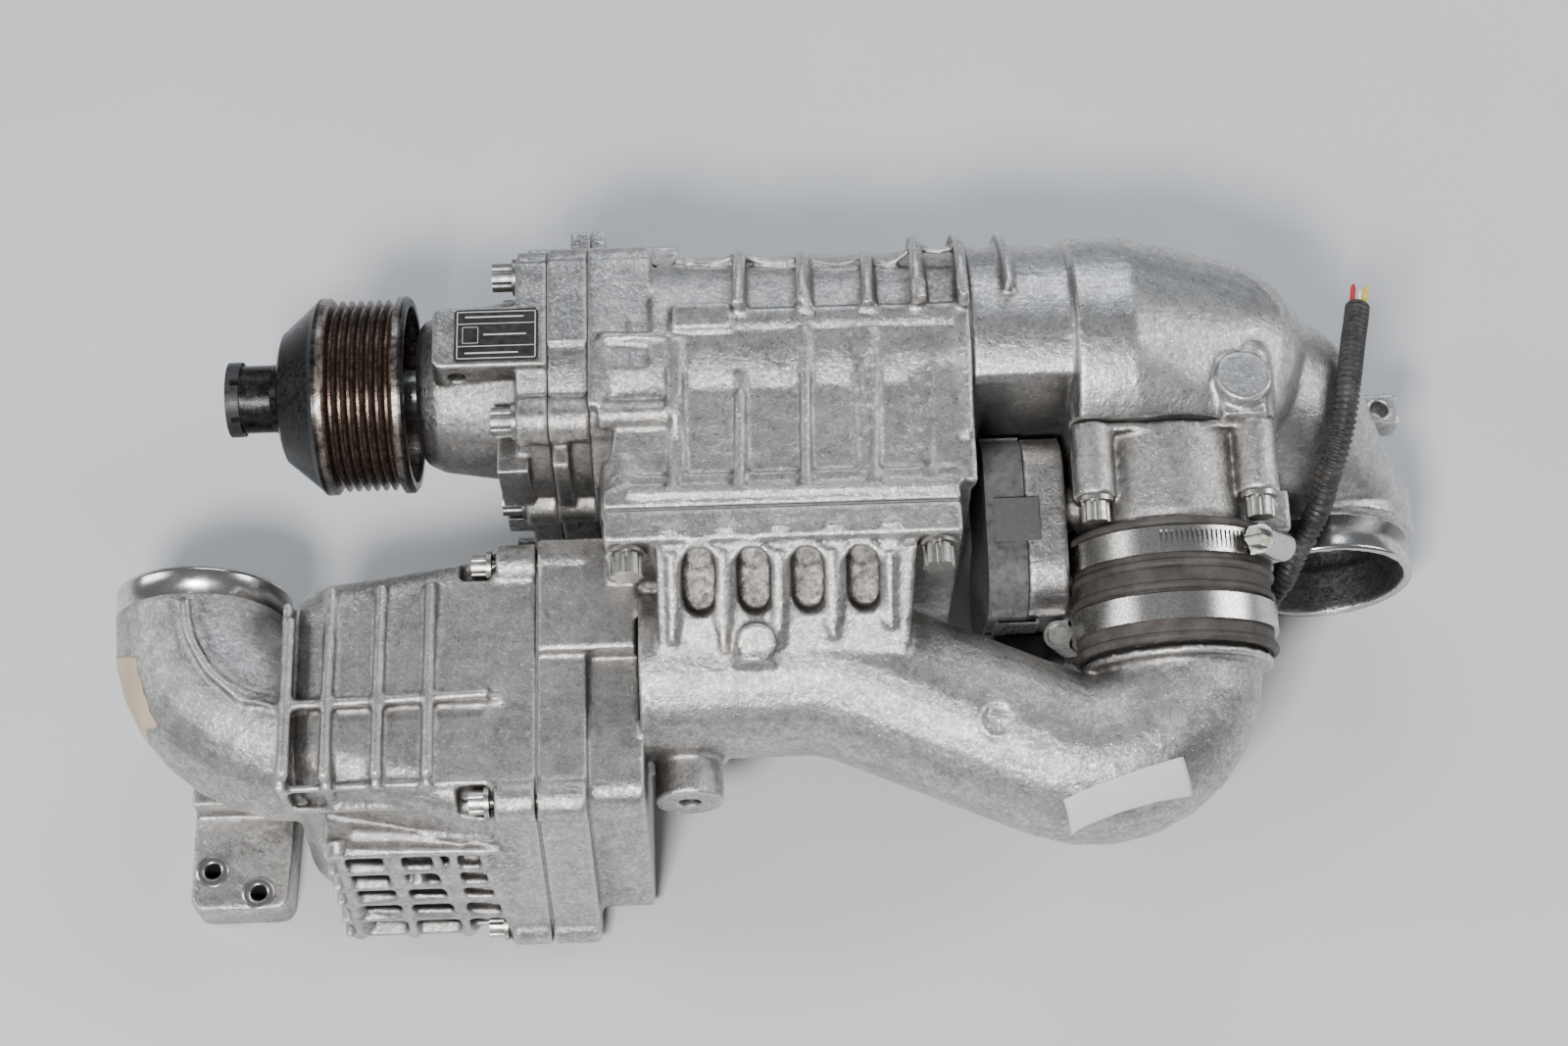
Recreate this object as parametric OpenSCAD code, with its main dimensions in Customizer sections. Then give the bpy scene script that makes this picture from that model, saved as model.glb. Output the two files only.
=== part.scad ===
// Roots supercharger with belt drive, bypass flap, silencer and ducting.
// +X runs along the drive axis from the pulley to the rotors, +Z is up as the unit lies on a bench.
// The origin is the middle of the belt grooves on the drive axis. All sizes are in millimetres.

/* [Rotors] */
// Distance between the two rotor axes
rotor_pitch = 53; // [53:0.5:54]
// Tip radius of a rotor lobe
rotor_tip_r = 39.5; // [39:0.1:39.8]
// Length of the rotors
rotor_len = 132; // [126:1:133]
// Radial gap between rotor tip and bore
tip_gap = 0.5; // [0.3:0.1:1]

/* [Pulley] */
// Outside radius of the pulley flanges
pulley_r = 38.5; // [38:0.1:39]
// Belt rib pitch
rib_pitch = 3.56; // [3.5:0.01:3.6]
// Number of belt grooves
groove_count = 7; // [6:1:7]

/* [Ducts] */
// Outside radius of the inlet spigot
inlet_r = 34.5; // [33:0.5:35]
// Outside radius of the outlet spigot
outlet_r = 33.5; // [32:0.5:34]
// Wall of the cast ducts
duct_wall = 5; // [4:0.5:5]
// Outside radius of the bypass pipe
bypass_r = 32; // [31:0.5:32]
// Downward lean of the bypass branch in degrees
bypass_lean = 10; // [9:0.5:11]

/* [Bypass flap] */
// Radius of the flap bore
flap_r = 30; // [29:0.5:30]
// Teeth on the flap's sector gear, as a full circle
sector_teeth = 48; // [48:1:48]
// Teeth on the motor pinion
pinion_teeth = 12; // [12:1:12]

/* [Hidden] */
$fn = 64;
eps = 0.01;
low_z = -rotor_pitch;           // height of the driven rotor's axis
axes_z = [0, low_z];
cast = [0.72, 0.72, 0.71];
dark_steel = [0.16, 0.15, 0.15];
bright_steel = [0.62, 0.62, 0.6];

// Stations along the drive axis
nose_x0 = 21;
nose_x1 = 72.5;
plate_x1 = 88;
bore_x1 = plate_x1 + rotor_len + 6;
rear_x = bore_x1 + 6;
elbow_x0 = rear_x + 1;
rotor_x0 = plate_x1 + 3;
floor_z = -102;

// Housing section
bore_r = rotor_tip_r + tip_gap;
shell_r = bore_r + 7;
bolt_r = 3.6;
top_bolts = [[32, 33], [-29, 31], [42, -12], [-40, -16], [30, -84], [-30, -84]];
flat_z = 44.5;                  // the flat that the front castings share
flat_x1 = 112;
flange_y0 = -62;
flange_y1 = -70;
flange_x = [93, 225];
flange_z = [-68, 38];
manifold_bolts_at = [[101, 28], [216, 28], [121, -61], [216, -58]];

// Bypass branch: its own frame, leaning down by bypass_lean
flap_at = [308, -29, -5];
hose_y = [-40, -86];
hose_r = 39;
spigot_r = 33.8;
flap_bolts_at = [[-31, 28], [31, 28], [-31, -28], [31, -28]];
flap_shaft_y = -25;
flap_shaft_r = 4.5;
sector_r = sector_teeth / 2;
small_r = 8;
big_teeth = 48;
pinion_r = pinion_teeth / 2;
// Angles, in the plane across the flap shaft, of the gear train
idler_angle = 248;
motor_angle = 251;
idler_at = [flap_shaft_y + (sector_r + small_r) * cos(idler_angle), (sector_r + small_r) * sin(idler_angle)];
motor_at = [idler_at[0] + (big_teeth / 2 + pinion_r) * cos(motor_angle),
            idler_at[1] + (big_teeth / 2 + pinion_r) * sin(motor_angle)];
case_x = [252, 268];
cover_x0 = 237;

// Inlet
inlet_at = [378, -62];          // x and z of the inlet's axis
inlet_y = [-66, -50];

// Silencer
split_x = 65;
sil_top = -3;
elbow_c = [-25, -80, -44];      // centre of the outlet elbow's bend
elbow_path_r = 44;

// ---- helpers ----
module xcyl(r, x0, x1, y = 0, z = 0) {
    translate([x0, y, z]) rotate([0, 90, 0]) cylinder(r = r, h = x1 - x0);
}
module ycyl(r, y0, y1, x = 0, z = 0) {
    translate([x, y1, z]) rotate([90, 0, 0]) cylinder(r = r, h = y1 - y0);
}
module zcyl(r, z0, z1, x = 0, y = 0) {
    translate([x, y, z0]) cylinder(r = r, h = z1 - z0);
}
module box(x, y, z) {
    translate([min(x), min(y), min(z)]) cube([abs(x[1] - x[0]), abs(y[1] - y[0]), abs(z[1] - z[0])]);
}
// A solid round the X axis from points [x, r]
module turned(points) {
    rotate([0, 90, 0]) rotate_extrude() polygon([for (p = points) [p[1], p[0]]]);
}
module ball(r, at, n = 32) {
    translate(at) sphere(r = r, $fn = n);
}
// Twin-bore section: two circles and the block that joins them
module twin(r, x0, x1) {
    xcyl(r, x0, x1);
    xcyl(r, x0, x1, z = low_z);
    box([x0, x1], [-r, r], [low_z, 0]);
}
module bypass_frame() {
    translate(flap_at) rotate([bypass_lean, 0, 0]) children();
}
// Flanged bolt along +X from its head's seat at x = 0: washer face, 12-lobed head, shank
module torx_bolt(shank_r, length, head_r, head_h) {
    xcyl(head_r * 1.28, -1.8, 0);
    difference() {
        xcyl(head_r, -head_h, -1.8);
        for (a = [0:60:300]) rotate([a, 0, 0]) translate([-head_h - 1, 0, head_r * 1.14]) rotate([0, 90, 0])
            cylinder(r = head_r * 0.3, h = head_h - 1, $fn = 16);
    }
    xcyl(shank_r, 0, length);
}
// Ball bearing: outer ring, inner ring and balls as separate solids
module ball_bearing(inner, outer, width, balls = 8) {
    mid = (inner + outer) / 2;
    ball_r = min(width * 0.3, (outer - inner) * 0.28);
    race = (outer - inner) * 0.24;
    difference() {
        xcyl(outer, 0, width);
        xcyl(outer - race, -1, width + 1);
        rotate([0, 90, 0]) rotate_extrude() translate([mid, width / 2]) circle(r = ball_r);
    }
    difference() {
        xcyl(inner + race, 0, width);
        xcyl(inner, -1, width + 1);
        rotate([0, 90, 0]) rotate_extrude() translate([mid, width / 2]) circle(r = ball_r);
    }
    for (i = [0:balls - 1]) rotate([i * 360 / balls, 0, 0]) translate([width / 2, 0, mid])
        sphere(r = ball_r - 0.1, $fn = 24);
}

// ---- gear outline: involute teeth from the base circle to the tip ----
function inv_at(rb, r) = let (t = sqrt(max(0, r * r / (rb * rb) - 1))) t * 180 / PI - atan(t);
function gear_points(teeth, module_mm, backlash, first = 0, last = -1) = let (
    rp = teeth * module_mm / 2,
    rb = rp * cos(20),
    ra = rp + 0.95 * module_mm,
    rf = rp - 1.2 * module_mm,
    half = 90 / teeth - backlash / rp * 90 / PI + inv_at(rb, rp),
    radii = [for (k = [0:4]) max(rb, rf) + (ra - max(rb, rf)) * k / 4]
) [for (t = [first:(last < first ? teeth - 1 : last)]) let (a = t * 360 / teeth) each concat(
    [[rf * cos(a - half), rf * sin(a - half)]],
    [for (k = [0:4]) let (r = radii[k], w = half - inv_at(rb, r)) [r * cos(a - w), r * sin(a - w)]],
    [for (k = [4:-1:0]) let (r = radii[k], w = half - inv_at(rb, r)) [r * cos(a + w), r * sin(a + w)]],
    [[rf * cos(a + half), rf * sin(a + half)]]
)];
module gear(teeth, module_mm, x0, x1, turn = 0, backlash = 0.12) {
    translate([x0, 0, 0]) rotate([0, 90, 0]) rotate([0, 0, turn]) linear_extrude(x1 - x0)
        polygon(gear_points(teeth, module_mm, backlash));
}

// ---- rotor outline: round lobe tips and the valleys that roll on the mate's tips ----
pitch_r = rotor_pitch / 2;
// Distance of a tip arc's centre, so that tip arc and valley meet on the pitch circle
arc_c = (rotor_tip_r * rotor_tip_r - pitch_r * pitch_r) / (2 * rotor_tip_r - 2 * pitch_r * cos(30));
arc_r = rotor_tip_r - arc_c;
lobe_gap = 0.3;
function valley_point(f) = let (
    q = [rotor_pitch * cos(f) - arc_c * cos(2 * f), rotor_pitch * sin(f) - arc_c * sin(2 * f)],
    d = [-rotor_pitch * sin(f) + 2 * arc_c * sin(2 * f), rotor_pitch * cos(f) - 2 * arc_c * cos(2 * f)],
    n = [d[1], -d[0]] / norm(d)
) q - (arc_r + lobe_gap) * n;
lobe_half = atan2(pitch_r * sin(30), arc_c - pitch_r * cos(30));
function tip_point(s) = [arc_c + (arc_r - lobe_gap) * cos(s), (arc_r - lobe_gap) * sin(s)];
function turned_by(p, a) = [p[0] * cos(a) - p[1] * sin(a), p[0] * sin(a) + p[1] * cos(a)];
rotor_points = [for (k = [0:2]) each concat(
    [for (i = [-6:6]) turned_by(tip_point(i * (180 - lobe_half) / 6.2), k * 120)],
    [for (i = [-6:6]) turned_by(valley_point(11 * i * i * i / 216), k * 120 + 60)]
)];
module rotor(hand, turn) {
    rotate([0, 90, 0]) rotate([0, 0, turn]) linear_extrude(rotor_len, twist = hand * 60, slices = 14, $fn = 0)
        polygon(rotor_points);
}

// ---- drive end ----
module nose_housing() {
    color(cast) difference() {
        union() {
            turned([[nose_x0, 0], [nose_x0, 25.5], [nose_x0 + 2, 28], [29, 31], [42, 33], [62, 36], [62, 0]]);
            twin(43, 60.5, nose_x1);
            // Bolt bosses on the rim
            for (b = top_bolts) xcyl(9.5, 60.5, nose_x1, b[0], b[1]);
            // Raised flat for the nameplate, with a tapped hole in its near edge
            box([33, nose_x1], [-12.5, 13], [10, flat_z]);
            box([29.5, nose_x1], [-9, 9.5], [10, flat_z]);
            for (y = [-9, 9.5]) zcyl(3.5, 10, flat_z, 33, y);
            box([60.5, nose_x1], [-3, 32], [10, flat_z]);
            // Swelling of the rim over the gears, and the bolt ear below it
            box([52, 64], [-45, -31], [-34, 20]);
            box([60.5, nose_x1], [30, 67], [-22, -4]);
            box([44, 60], [-3, 3], [-46, -20]);
        }
        // Bearing seats, coupling room and gear room
        xcyl(17, nose_x0 + 4, 46);
        xcyl(11, nose_x0 - 1, nose_x0 + 5);
        xcyl(23, 45.9, 60.1);
        twin(31, 60, nose_x1 + 1);
        for (b = top_bolts) {
            xcyl(bolt_r, 50, nose_x1 + 1, b[0], b[1]);
            xcyl(7.5, 40, 60.5, b[0], b[1]);
        }
        ycyl(3.4, -14, -2, 38, 35);
        xcyl(4, 59, nose_x1 + 1, 56, -13);
    }
}
module nameplate() {
    color([0.1, 0.1, 0.1]) difference() {
        box([38, 69.5], [-10.5, 11.5], [flat_z, flat_z + 0.6]);
        for (x = [38, 69.5], y = [-10.5, 11.5]) translate([x, y, flat_z]) cube([1.6, 1.6, 4], center = true);
    }
}
module bearing_plate() {
    color(cast) difference() {
        union() {
            twin(43, nose_x1, plate_x1);
            for (b = top_bolts) xcyl(b[1] > 0 && b[0] > 0 ? 10.5 : 9, nose_x1, plate_x1, b[0], b[1]);
            box([nose_x1, plate_x1], [-3, 32], [8, flat_z]);
            // Locating lug on the far edge and the plain ear below it
            box([80, plate_x1], [30, 59.5], [6, 20]);
            box([nose_x1, plate_x1], [30, 67], [-22, -4]);
            // Thin web towards the near side
            box([nose_x1 + 1, nose_x1 + 7], [-46, -30], [-34, 26]);
        }
        for (z = axes_z) {
            xcyl(17.5, nose_x1 - 1, nose_x1 + 10, 0, z);
            xcyl(13, nose_x1, plate_x1 + 1, 0, z);
        }
        for (b = top_bolts) xcyl(bolt_r, nose_x1 - 1, plate_x1 + 1, b[0], b[1]);
        xcyl(4, nose_x1 - 13, nose_x1 + 9, 56, -13);
    }
}
module oil_plug() {
    color(bright_steel) translate([60.5, 56, -13]) difference() {
        union() {
            xcyl(6.5, -2.5, 0);
            xcyl(3.9, 0, 9);
        }
        xcyl(3, -3, 0.5, $fn = 6);
    }
}

// ---- rotor housing ----
fin_x = [146, 171, 195, 214, 230];
fin_h = [7, 5, 3.5, 9.5, 10];
module rotor_housing() {
    color(cast) difference() {
        union() {
            difference() {
                union() {
                    twin(shell_r, plate_x1, rear_x);
                    translate([0, 4, 0]) twin(shell_r - 0.5, plate_x1 + 4, rear_x);
                    twin(shell_r + 1.5, rear_x - 5, rear_x);
                }
                // The front end is planed down to the shared flat
                box([plate_x1 - 1, flat_x1], [-60, 60], [flat_z, 60]);
            }
            // Long bolt bosses that run back along the shell
            for (b = top_bolts) xcyl(b[1] > 0 && b[0] > 0 ? 10.5 : 8, plate_x1, plate_x1 + 24, b[0], b[1]);
            xcyl(8, plate_x1, 121, top_bolts[1][0], top_bolts[1][1]);
            box([plate_x1, flat_x1], [-3, 32], [20, flat_z]);
            // Frame round the pocket between the bosses
            box([118, 122], [-34, -1], [20, flat_z + 0.5]);
            box([plate_x1, 93], [-30, -1], [20, flat_z]);
            box([80 + 8, 93.5], [30, 59.5], [6, 20]);
            box([plate_x1, 122], [30, 67], [-22, -4]);
            // Discharge chamber: from the crown out to the outlet flange
            hull() {
                box([104, rear_x - 2], [2, 5], [-60, 45.5]);
                box([94, rear_x - 2], [flange_y0, flange_y0 + 3], [flange_z[0] + 3, flange_z[1] - 4]);
            }
            box(flange_x, [flange_y1, flange_y0], flange_z);
            for (b = manifold_bolts_at) ycyl(9.5, flange_y1, flange_y0 + 14, b[0], b[1]);
            discharge_ribs();
            cooling_fins();
            // Feet that the casting rests on
            for (x = [108, 208]) box([x, x + 14], [-22, 22], [floor_z, low_z - 30]);
        }
        twin_bore();
        // Outlet port through the chamber and flange
        hull() {
            box([132, 214], [-30, -29], [-56, 6]);
            box([126, 214], [flange_y1 - 1, flange_y1], [-54, 14]);
        }
        for (b = top_bolts) xcyl(3.4, plate_x1 - 1, plate_x1 + 26, b[0], b[1]);
        for (b = manifold_bolts_at) ycyl(3.4, flange_y1 - 1, flange_y1 + 18, b[0], b[1]);
        for (b = elbow_bolts_at) xcyl(2.6, rear_x - 14, rear_x + 1, b[0], b[1]);
        for (x = [115, 215]) zcyl(4.2, floor_z - 1, floor_z + 14, x, 0);
        // Relief under the near bolt boss, ahead of the discharge chamber
        box([plate_x1 + 5, 94], [-60, -36], [-40, 24]);
    }
}
module twin_bore() {
    for (z = axes_z) {
        xcyl(bore_r, plate_x1 - 1, bore_x1, 0, z);
        xcyl(11, bore_x1 - 1, rear_x - 1.5, 0, z);
    }
    box([plate_x1 - 1, bore_x1], [-20, 20], [low_z, 0]);
    // Inlet port through the rear wall
    box([bore_x1 - 1, rear_x + 1], [14, 36], [low_z - 14, 14]);
    box([bore_x1 - 1, rear_x + 1], [-12, 15], [-38, -15]);
}
// Ribs and frame of the discharge side's upper face
module discharge_ribs() {
    slope = atan2(45.5 - (flange_z[1] - 4), 3 - flange_y0);
    translate([0, 3, 45.5]) rotate([slope, 0, 0]) {
        for (x = [122, 169, 189]) box([x - 1.6, x + 1.6], [-66, 0], [-6, 2.6]);
        box([143.4, 146.6], [-66, -22], [-6, 2.2]);
        box([120, rear_x], [-3, 4], [-6, 3.2]);
        box([120, 142], [-4, 6], [-6, 4.6]);
        box([96, rear_x - 6], [-67, -60], [-6, 2.6]);
        box([208, 210], [-66, 0], [-6, 1]);
        box([212, rear_x], [-66, 0], [-6, 1.6]);
    }
}
// Fins over the crown and far side
module cooling_fins() {
    for (i = [0:len(fin_x) - 1]) intersection() {
        union() {
            xcyl(shell_r + fin_h[i], fin_x[i] - 1.8, fin_x[i] + 1.8);
            xcyl(shell_r + fin_h[i], fin_x[i] - 1.8, fin_x[i] + 1.8, 0, low_z);
            box([fin_x[i] - 1.8, fin_x[i] + 1.8], [0, shell_r + fin_h[i]], [low_z, 0]);
        }
        box([fin_x[i] - 3, fin_x[i] + 3], [5, 80], [floor_z + 6, 60]);
    }
}
module outlet_gasket() {
    color([0.3, 0.3, 0.32]) difference() {
        box([94, 224], [flange_y1 - 0.8, flange_y1], [flange_z[0] + 1, flange_z[1] - 1]);
        box([124, 216], [flange_y1 - 2, flange_y1 + 1], [-55, 15]);
        for (b = manifold_bolts_at) ycyl(3.6, flange_y1 - 2, flange_y1 + 1, b[0], b[1]);
    }
}

// ---- intake elbow ----
elbow_bolts_at = [[44, 12], [44, -65], [12, -97], [-14, -94.5]];
neck_x1 = 274;
// Neck from the rotor housing's port: flat on the near side to clear the actuator
module elbow_neck(d, x0, x1) {
    intersection() {
        translate([0, 6, 0]) twin(46 - d, x0, x1);
        box([x0 - 1, x1 + 1], [-20 + d, 60], [-120, 60]);
    }
}
module elbow_dome(d) {
    hull() {
        xcyl(50 - d, 272 + d, 294, 4, 0);
        ball(46 - d, [325, 3, -8]);
        ball(43 - d, [318, 6, -48]);
        bypass_frame() box([-37 + d, 38 - d], [d * 1.6, 5 + d], [-38 + d, 31 - d]);
    }
}
module elbow_turn(d) {
    hull() {
        ball(45 - d, [328, 0, -14]);
        ball(43 - d, [351, -7, -29]);
        ball(41 - d, [356, -12, -56]);
        ycyl(37.5 - d, -46, -38, inlet_at[0], inlet_at[1], $fn = 48);
    }
}
// Everything on the near side of the flap housing's flange, grown by d
module flange_side(d) {
    bypass_frame() box([-60, 40 + d], [-90, d], [-42 - d, 70]);
}
module intake_elbow() {
    color(cast) difference() {
        union() {
            elbow_neck(0, elbow_x0, neck_x1 + 4);
            difference() {
                union() {
                    elbow_dome(0);
                    elbow_turn(0);
                }
                flange_side(0);
            }
            // Bulge on the near side of the neck
            intersection() {
                union() {
                    xcyl(27, elbow_x0, 252, -7, 12);
                    ball(27, [252, -7, 12]);
                }
                box([elbow_x0, 268], [-21, 40], [-30, 60]);
            }
            ycyl(38, inlet_y[1], -30, inlet_at[0], inlet_at[1]);
            ycyl(inlet_r, inlet_y[0], inlet_y[1], inlet_at[0], inlet_at[1]);
            // Bosses that take the flap housing's bolts
            bypass_frame() for (b = flap_bolts_at) ycyl(8.6, 0, b[0] > 0 ? 24 : 10, b[0], b[1]);
            bypass_frame() ball(8.6, [flap_bolts_at[1][0], 24, flap_bolts_at[1][1]]);
            for (b = elbow_bolts_at) xcyl(7, elbow_x0, elbow_x0 + 10, b[0], b[1]);
            // Bracket ear above the inlet
            box([384, 412], [-7, 7], [-50, -38]);
            // Fin stubs along the crown
            intersection() {
                xcyl(55, 245.5, 249, 2, 0);
                box([240, 255], [12, 70], [-30, 60]);
            }
            for (x = [289, 309]) translate([x, 48, 20]) rotate([25, 0, 0]) scale([1, 0.5, 2]) ball(5, [0, 0, 0], 20);
            box([340, 354], [-24, -4], [floor_z, -80]);
        }
        difference() {
            union() {
                elbow_dome(elbow_wall);
                elbow_turn(elbow_wall);
            }
            flange_side(elbow_wall);
        }
        bypass_frame() ycyl(31, -1, 30, 0, 0);
        difference() {
            elbow_neck(elbow_wall, elbow_x0 - 1, neck_x1 + 10);
            for (b = elbow_bolts_at) xcyl(9.5, elbow_x0 - 2, elbow_x0 + 26, b[0], b[1]);
        }
        for (b = elbow_bolts_at) xcyl(7, elbow_x0 + 10, elbow_x0 + 24, b[0], b[1]);
        ycyl(inlet_r - 3, inlet_y[0] - 1, -34, inlet_at[0], inlet_at[1]);
        for (b = elbow_bolts_at) xcyl(3.1, elbow_x0 - 1, elbow_x0 + 11, b[0], b[1]);
        bypass_frame() for (b = flap_bolts_at) ycyl(3.1, -1, 14, b[0], b[1]);
        zcyl(3.6, -60, -30, 404, 0);
    }
}
elbow_wall = 5;
module intake_gasket() {
    color([0.3, 0.3, 0.32]) difference() {
        elbow_neck(1, rear_x, elbow_x0);
        elbow_neck(5.5, rear_x - 1, elbow_x0 + 1);
        for (b = elbow_bolts_at) xcyl(3.2, rear_x - 1, elbow_x0 + 1, b[0], b[1]);
    }
}

// ---- bypass flap, in the bypass frame ----
module flap_housing() {
    color(cast) bypass_frame() difference() {
        union() {
            ycyl(34.6, -36, -0.6);
            ycyl(spigot_r, -62, -36);
            ycyl(34.3, -62, -60.5);
            box([-37, 37], [-4, -0.6], [-35, 33]);
            for (b = flap_bolts_at) ycyl(8, -29, -0.6, b[0], b[1]);
            for (b = flap_bolts_at) box([b[0] - 5, b[0] + 5], [-26, -0.6], [min(0, b[1] * 0.9), max(0, b[1] * 0.9)]);
            // Closed end of the flap shaft
            xcyl(8, 30, 39.5, flap_shaft_y, 0);
            box([34, 47], [-38, -22], [-5, 7]);
            // Gear case and motor pocket
            difference() {
                gear_case(0, case_x[0] - flap_at[0], case_x[1] - flap_at[0]);
                gear_case(3, case_x[0] - flap_at[0] - 1, case_x[1] - flap_at[0] - 3);
            }
            xcyl(16.5, case_x[1] - flap_at[0] - 3, -2, motor_at[0], motor_at[1]);
            xcyl(8, case_x[1] - flap_at[0] - 3, -30, flap_shaft_y, 0);
        }
        ycyl(flap_r, -63, 1);
        xcyl(flap_shaft_r + 0.03, case_x[1] - flap_at[0] - 4, 37, flap_shaft_y, 0);
        for (b = flap_bolts_at) ycyl(3.3, -30, 1, b[0], b[1]);
        xcyl(13.6, case_x[1] - flap_at[0] - 4, -4, motor_at[0], motor_at[1]);
        xcyl(2, case_x[1] - flap_at[0] - 4, -37, idler_at[0], idler_at[1]);
    }
}
// Outline of the actuator's gear case, shrunk by d, from x0 to x1
module gear_case(d, x0, x1) {
    for (c = [[-14, -3, 16.5], [-14, -14, 17], [-48, -5, 18.5], [-46.5, -56, 20]])
        xcyl(c[2] - d, x0, x1, c[0], c[1]);
    box([x0, x1], [-66.5 + d, -4 - d], [-56, -5]);
    box([x0, x1], [-48, -14], [-30, 13.5 - d]);
    box([x0, x1], [-31 + d, 3 - d], [-14, 2]);
}
module flap_seal() {
    color([0.08, 0.08, 0.08]) bypass_frame() difference() {
        ycyl(35.5, -0.6, 0);
        ycyl(32, -1, 1);
    }
}
module actuator_cover() {
    color([0.5, 0.52, 0.54]) bypass_frame() difference() {
        union() {
            gear_case(-0.5, cover_x0 - flap_at[0], case_x[0] - flap_at[0]);
            // Ribs round the rim
            for (z = [-60, -42, -24, 8]) box([cover_x0 - flap_at[0] + 1, cover_x0 - flap_at[0] + 9], [-68, -64.6], [z - 6, z - 4.5]);
        }
        gear_case(2.5, cover_x0 - flap_at[0] + 3, case_x[0] - flap_at[0] + 1);
        xcyl(flap_shaft_r + 0.6, cover_x0 - flap_at[0] + 2, -50, flap_shaft_y, 0);
    }
}
module actuator_clips() {
    color(bright_steel) bypass_frame() {
        for (a = [[-33, 14.7, 0], [-67.7, -14, 90]]) translate([0, a[0], a[1]]) rotate([a[2], 0, 0])
            difference() {
                box([-68, -51], [-8.5, 8.5], [-0.5, 1.4]);
                box([-66.8, -52.2], [-9, 9], [-1, 0.6]);
            }
    }
}
module actuator_motor() {
    color(bright_steel) bypass_frame() translate([0, motor_at[0], motor_at[1]]) {
        xcyl(13.5, case_x[1] - flap_at[0] - 2.8, -5);
        xcyl(6, case_x[1] - flap_at[0] - 4.4, case_x[1] - flap_at[0] - 2.8);
    }
}
module actuator_connector() {
    color([0.07, 0.07, 0.08]) bypass_frame() difference() {
        union() {
            box([-66, -47], [-80, -68.1], [-52, -32]);
            box([-63, -45], [-78, -68], [-50, -34]);
            xcyl(6.2, -47, -39, -73, -42);
        }
        xcyl(4.2, -44, -38, -73, -42);
    }
}
module flap_shaft() {
    color(bright_steel) bypass_frame() difference() {
        xcyl(flap_shaft_r, -66, 36.5, flap_shaft_y, 0);
        box([-29.2, 29.2], [flap_shaft_y - 1.02, flap_shaft_y + 1.02], [-6, 6]);
        for (x = [-15, 15]) ycyl(1.6, flap_shaft_y - 6, flap_shaft_y + 6, x, 0);
    }
}
module flap_plate() {
    color([0.75, 0.6, 0.3]) bypass_frame() difference() {
        intersection() {
            ycyl(flap_r - 0.5, flap_shaft_y - 1, flap_shaft_y + 1);
            box([-29, 29], [-40, 0], [-31, 31]);
        }
        for (x = [-15, 15]) ycyl(1.6, flap_shaft_y - 3, flap_shaft_y + 3, x, 0);
    }
}
module flap_screws() {
    color(bright_steel) bypass_frame() for (x = [-15, 15]) difference() {
        union() {
            ycyl(1.55, flap_shaft_y - 4.4, flap_shaft_y + 5, x, 0);
            ycyl(3, flap_shaft_y + 4.6, flap_shaft_y + 6.2, x, 0);
        }
        box([x - 2.4, x + 2.4], [flap_shaft_y + 5.5, flap_shaft_y + 7], [-0.4, 0.4]);
    }
}
module sector_gear() {
    color([0.8, 0.78, 0.7]) bypass_frame() translate([0, flap_shaft_y, 0]) difference() {
        union() {
            // Teeth for 80 degrees of flap travel, on a wedge from the shaft
            translate([-62, 0, 0]) rotate([0, 90, 0]) rotate([0, 0, gear_turn(idler_angle, sector_teeth, 0)])
                linear_extrude(7) polygon(concat([[0, 0]],
                    gear_points(sector_teeth, 1, 0.12, -ceil(82 * sector_teeth / 360), 1)));
            xcyl(9, -63, -54.7);
        }
        xcyl(flap_shaft_r, -64, -50);
    }
}
// Turn that puts a tooth (offset 0) or a gap (offset 0.5) in the direction given, in the YZ plane
function gear_turn(direction, teeth, offset) = direction + 90 + offset * 360 / teeth;
module reduction_gear() {
    color([0.85, 0.83, 0.78]) bypass_frame() translate([0, idler_at[0], idler_at[1]]) difference() {
        union() {
            gear(2 * small_r, 1, -62, -53, gear_turn(idler_angle + 180, 2 * small_r, 0.5));
            gear(big_teeth, 1, -54, -48, gear_turn(motor_angle, big_teeth, 0));
        }
        xcyl(2.05, -63, -47);
    }
}
module reduction_gear_pin() {
    color(bright_steel) bypass_frame() xcyl(2, -64, -38, idler_at[0], idler_at[1]);
}
module motor_pinion() {
    color([0.75, 0.6, 0.3]) bypass_frame() translate([0, motor_at[0], motor_at[1]])
        gear(pinion_teeth, 1, -54.5, -44.6, gear_turn(motor_angle + 180, pinion_teeth, 0.5));
}
module flap_housing_bolts() {
    color(bright_steel) bypass_frame() for (b = flap_bolts_at)
        translate([b[0], -29, b[1]]) rotate([0, 0, 90]) torx_bolt(3, 40, 5.4, 9.5);
}

// ---- hose and clamps, in the bypass frame ----
module coupling_hose() {
    color([0.2, 0.17, 0.15]) bypass_frame() difference() {
        union() {
            ycyl(hose_r - 1.6, hose_y[1], hose_y[0]);
            for (y = [hose_y[0] - 1, -57, -65.4, hose_y[1] + 1.2])
                translate([0, y, 0]) rotate([90, 0, 0]) rotate_extrude() translate([hose_r - 1.8, 0]) circle(r = 1.8, $fn = 24);
        }
        ycyl(spigot_r + 0.8, hose_y[1] - 3, hose_y[0] + 3);
    }
}
module clamp_band(y, turn) {
    bypass_frame() translate([0, y, 0]) rotate([0, turn, 0]) difference() {
        ycyl(hose_r + 0.2, -5, 5);
        ycyl(hose_r - 1.5, -6, 6);
        for (i = [0:21]) rotate([0, -6 - i * 2.8, 0]) translate([hose_r + 0.4, 0, 0])
            rotate([0, 0, 8]) cube([1.4, 7, 0.9], center = true);
    }
}
clamp_y = [-48.2, -73.5];
clamp_turn = [-38, -200];
module upper_clamp_band() { color(bright_steel) clamp_band(clamp_y[0], clamp_turn[0]); }
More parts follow.
